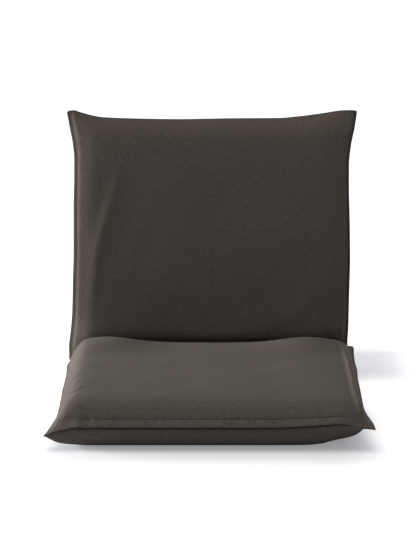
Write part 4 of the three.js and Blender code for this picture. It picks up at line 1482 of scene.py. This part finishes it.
@dataclass
class FoamPads:
    """The four layers of foam inside the cover, clear of the frame and of the hinges."""

    layers: Sequence[FoamLayer] = (
        FoamLayer("seat_pad_over", "seat_foam_top", Half.SEAT, Face.SITTING, -164.0, 130.0),
        FoamLayer("seat_pad_under", "seat_foam_base", Half.SEAT, Face.UNDER, -166.0, 148.0),
        FoamLayer("back_pad_front", "back_foam_front", Half.BACK, Face.SITTING, 57.0, 288.0,
                  168.0),
        FoamLayer("back_pad_rear", "back_foam_rear", Half.BACK, Face.UNDER, 48.0, 288.0, 168.0))
    frame_clearance: float = 10.6
    cover_clearance: float = 2.8
    rows: int = 60
    columns: int = 80
    crowding: float = 1.5
    search_steps: int = 400
    cover_half_width: float = 188.0
    roundness: float = 12.0
    fill: float = 0.9

    def layer(self, cover: SlipCover, chosen: FoamLayer) -> tuple[np.ndarray, np.ndarray]:
        """The outer and inner faces of one layer.

        Args:
            cover: The cover that it fills.
            chosen: The layer.

        Returns:
            Both grids, which meet at their edges.
        """
        on_seat = chosen.half is Half.SEAT
        fine = np.linspace(0.0, 1.0, self.search_steps) + (0.0 if on_seat else 2.0)
        middle = cover.middle(chosen.face, fine)
        reach = middle[:, 0] if on_seat else world_to_back(middle[:, 0], middle[:, 1])[0]
        q = crowded(self.rows // 2, self.crowding)
        p = crowded(self.columns // 2, self.crowding)
        stations = (chosen.start + chosen.end) / 2 + q * (chosen.end - chosen.start) / 2
        v = np.interp(stations, reach, fine)
        grid = cover.sheet(chosen.face, v, p * chosen.half_width / self.cover_half_width)[0]
        grid = grid - grid_normals(grid) * (chosen.face.value * self.cover_clearance)
        plane = self.frame_clearance * chosen.face.value
        inner = grid.copy()
        if on_seat:
            inner[:, :, 2] = HINGE_Z + plane
        else:
            lift = world_to_back(grid[:, :, 1], grid[:, :, 2])[1] - plane
            inner[:, :, 1] += lift * math.sin(BACK_ANGLE)
            inner[:, :, 2] -= lift * math.cos(BACK_ANGLE)
        centre = (grid + inner) / 2
        power = self.roundness
        full = np.sqrt((1 - np.abs(q[:, None]) ** power) * (1 - np.abs(p[None, :]) ** power))
        full = full[:, :, None]
        return centre + (grid - centre) * full, centre + (inner - centre) * full

    def build(self, cover: SlipCover, foam: bpy.types.Material) -> None:
        """Cuts and places the four layers.

        Args:
            cover: The cover that they fill.
            foam: Their finish.
        """
        for chosen in self.layers:
            outer, inner = self.layer(cover, chosen)
            points, faces, _ = bag_of(outer, inner)
            if chosen.face is Face.UNDER:
                faces = faces[:, ::-1]
            pad = make_mesh(chosen.name, points, faces, foam)
            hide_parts(chosen.node)
            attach(pad, chosen.half.value)
            LOG.info("%s has %d faces", chosen.name, len(pad.data.polygons))


@dataclass
class FoldBlend:
    """The line across the fold, from the seat to the back."""

    half_width: float = 12.5
    middle_angle: float = 37.5

    def ends(self) -> tuple[Place, Place]:
        """Where the line starts and ends, in metres.

        Returns:
            The start, on the seat's side, and the end, on the back's side.
        """
        turn = math.radians(self.middle_angle)
        dy, dz = self.half_width * math.cos(turn), self.half_width * math.sin(turn)
        start = (0.0, (HINGE_Y - dy) * MM, (HINGE_Z - dz) * MM)
        end = (0.0, (HINGE_Y + dy) * MM, (HINGE_Z + dz) * MM)
        return start, end


@dataclass
class Hardware:
    """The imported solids, and the finish that each material slot has."""

    finish_of_slot: dict[str, str] = field(default_factory=lambda: {
        "foam": "foam", "webbing": "webbing", "tube_steel": "tube", "zinc_steel": "plate",
        "spring_steel": "wire", "zip_nylon": "zip_tape", "zip_metal": "zip_metal",
        "cover_cloth": "cotton"})

    def dress(self, materials: dict[str, bpy.types.Material]) -> None:
        """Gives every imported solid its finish.

        Args:
            materials: The finishes by name.
        """
        slots = {row["node"]: row["material_slot"] for row in frame["record"]["subparts"]}
        for name, node in frame["nodes"].items():
            finish = materials[self.finish_of_slot[slots[name]]]
            node.data.materials.clear()
            node.data.materials.append(finish)
        LOG.info("dressed %d packed solids", len(slots))


@dataclass(frozen=True)
class Lamp:
    """A soft box, in metres and watts."""

    name: str
    place: Place
    target: Place
    size: Pair
    power: float
    colour: Colour

    def build(self) -> None:
        """Hangs the lamp and points it at its target."""
        data = bpy.data.lights.new(self.name, "AREA")
        data.shape = "RECTANGLE"
        data.size, data.size_y = self.size
        data.energy = self.power
        data.color = self.colour
        made = bpy.data.objects.new(self.name, data)
        aim = np.array(self.target) - np.array(self.place)
        made.location = self.place
        yaw = math.atan2(aim[0], -aim[1])
        tilt = math.acos(-aim[2] / float(np.linalg.norm(aim)))
        made.rotation_euler = (tilt, 0.0, yaw + math.pi)
        bpy.context.scene.collection.objects.link(made)


@dataclass(frozen=True)
class Shade:
    """A painted shadow where the floor's own light is dimmed: a box and its faded reach, in metres.
    """

    middle: Pair
    half: Pair
    reach: float
    depth: float


@dataclass
class Studio:
    """White floor and world, soft lamps and the camera at the photograph's angle."""

    camera_place: Place = (0.0, -3.677, 0.934)
    camera_pitch: float = 11.6
    focal_length: float = 189.08
    sensor_width: float = 36.0
    camera_reach: float = 60.0
    world_strength: float = 0.155
    world_tint: Colour = (0.86, 1.05, 1.42)
    floor_size: float = 14.0
    floor_albedo: float = 0.9
    floor_roughness: float = 0.9
    floor_specular: float = 0.1
    floor_fill: float = 0.84
    shades: Sequence[Shade] = (
        Shade((0.0, -0.12), (0.155, 0.095), 0.13, 0.57),
        Shade((0.2, 0.28), (0.03, 0.045), 0.115, 0.58))
    lamps: Sequence[Lamp] = (
        Lamp("left_box", (-2.6, 0.42, 0.36), (0.0, 0.0, 0.1), (1.1, 0.6), 112.0,
             (0.99, 1.0, 1.03)),
        Lamp("top_box", (0.0, -0.2, 2.6), (0.0, 0.0, 0.0), (2.0, 2.0), 27.0,
             (1.06, 0.985, 0.9)))

    def camera(self) -> None:
        """Sets the camera."""
        data = bpy.data.cameras.new("camera")
        data.lens = self.focal_length
        data.sensor_width = self.sensor_width
        data.clip_end = self.camera_reach
        made = bpy.data.objects.new("camera", data)
        made.location = self.camera_place
        made.rotation_euler = (math.radians(90 - self.camera_pitch), 0.0, 0.0)
        bpy.context.scene.collection.objects.link(made)
        bpy.context.scene.camera = made

    def world(self) -> None:
        """Fills the room with even, bluish light, which the camera sees as pure white."""
        world = bpy.data.worlds.new("studio")
        bpy.context.scene.world = world
        g = Graph(world, "Background")
        seen = g.seen()
        strength = g.add("ShaderNodeMapRange", {0: seen, 3: self.world_strength, 4: 1.0})
        g.surface({"Strength": strength.outputs[0],
                   "Color": g.mixed(seen, self.world_tint, WHITE)})

    def floor(self) -> None:
        """Lays the pale floor, whose own light keeps it white and is dimmed at the shades, painting
        shadow over the chair's real shadow.
        """
        half = self.floor_size / 2 / MM
        points = np.array([(-half, -half, 0), (half, -half, 0), (half, half, 0), (-half, half, 0)])
        pale = bpy.data.materials.new("studio_floor")
        g = Graph(pale)
        seen = g.seen()
        place = g.add("ShaderNodeSeparateXYZ", {0: g.placed((1, 1, 1))})
        fill = self.floor_fill
        # Painted shadow: the floor's own light is dimmed in and around each shade.
        for shade in self.shades:
            squares = []
            for n in range(2):
                offset = g.maths("SUBTRACT", place.outputs[n], shade.middle[n])
                beyond = g.maths("SUBTRACT", g.maths("ABSOLUTE", offset), shade.half[n])
                beyond = g.maths("MAXIMUM", beyond, 0.0)
                squares.append(g.maths("MULTIPLY", beyond, beyond))
            away = g.maths("SQRT", g.maths("ADD", *squares))
            fill = g.maths("SUBTRACT", fill, g.ranged(away, 0.0, shade.reach, shade.depth, 0.0))
        g.surface({"Base Color": (self.floor_albedo,) * 3, "Roughness": self.floor_roughness,
                   "Specular IOR Level": self.floor_specular, "Emission Color": WHITE,
                   "Emission Strength": g.maths("MULTIPLY", seen, fill)})
        made = make_mesh("studio_floor", points, np.array([(0, 1, 2, 3)]), pale)

    def build(self) -> None:
        """Sets up the camera, floor, world and lamps."""
        bpy.context.scene.view_settings.view_transform = "Standard"
        self.camera()
        self.floor()
        self.world()
        for lamp in self.lamps:
            lamp.build()
        LOG.info("studio ready")


def main() -> None:
    """Builds the chair's looks and the studio in order."""
    logging.basicConfig(level=logging.INFO)
    Studio().build()
    materials = Finishes().materials()
    Hardware().dress(materials)
    shape = SlipCover()
    cover = shape.build(materials["cotton"])
    rows = RowTree()
    Placket().build(shape, cover, rows, materials)
    ZipTeeth().build(rows, materials["zip_teeth"])
    FoamPads().build(shape, materials["foam"])
    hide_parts("seat_cover_top", "seat_cover_base", "back_cover_front",
                "back_cover_rear", "fold_cover_front", "fold_cover_rear")
    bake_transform(cover)
    LOG.info("cover has %d faces", len(cover.data.polygons))


if __name__ == "__main__":
    main()
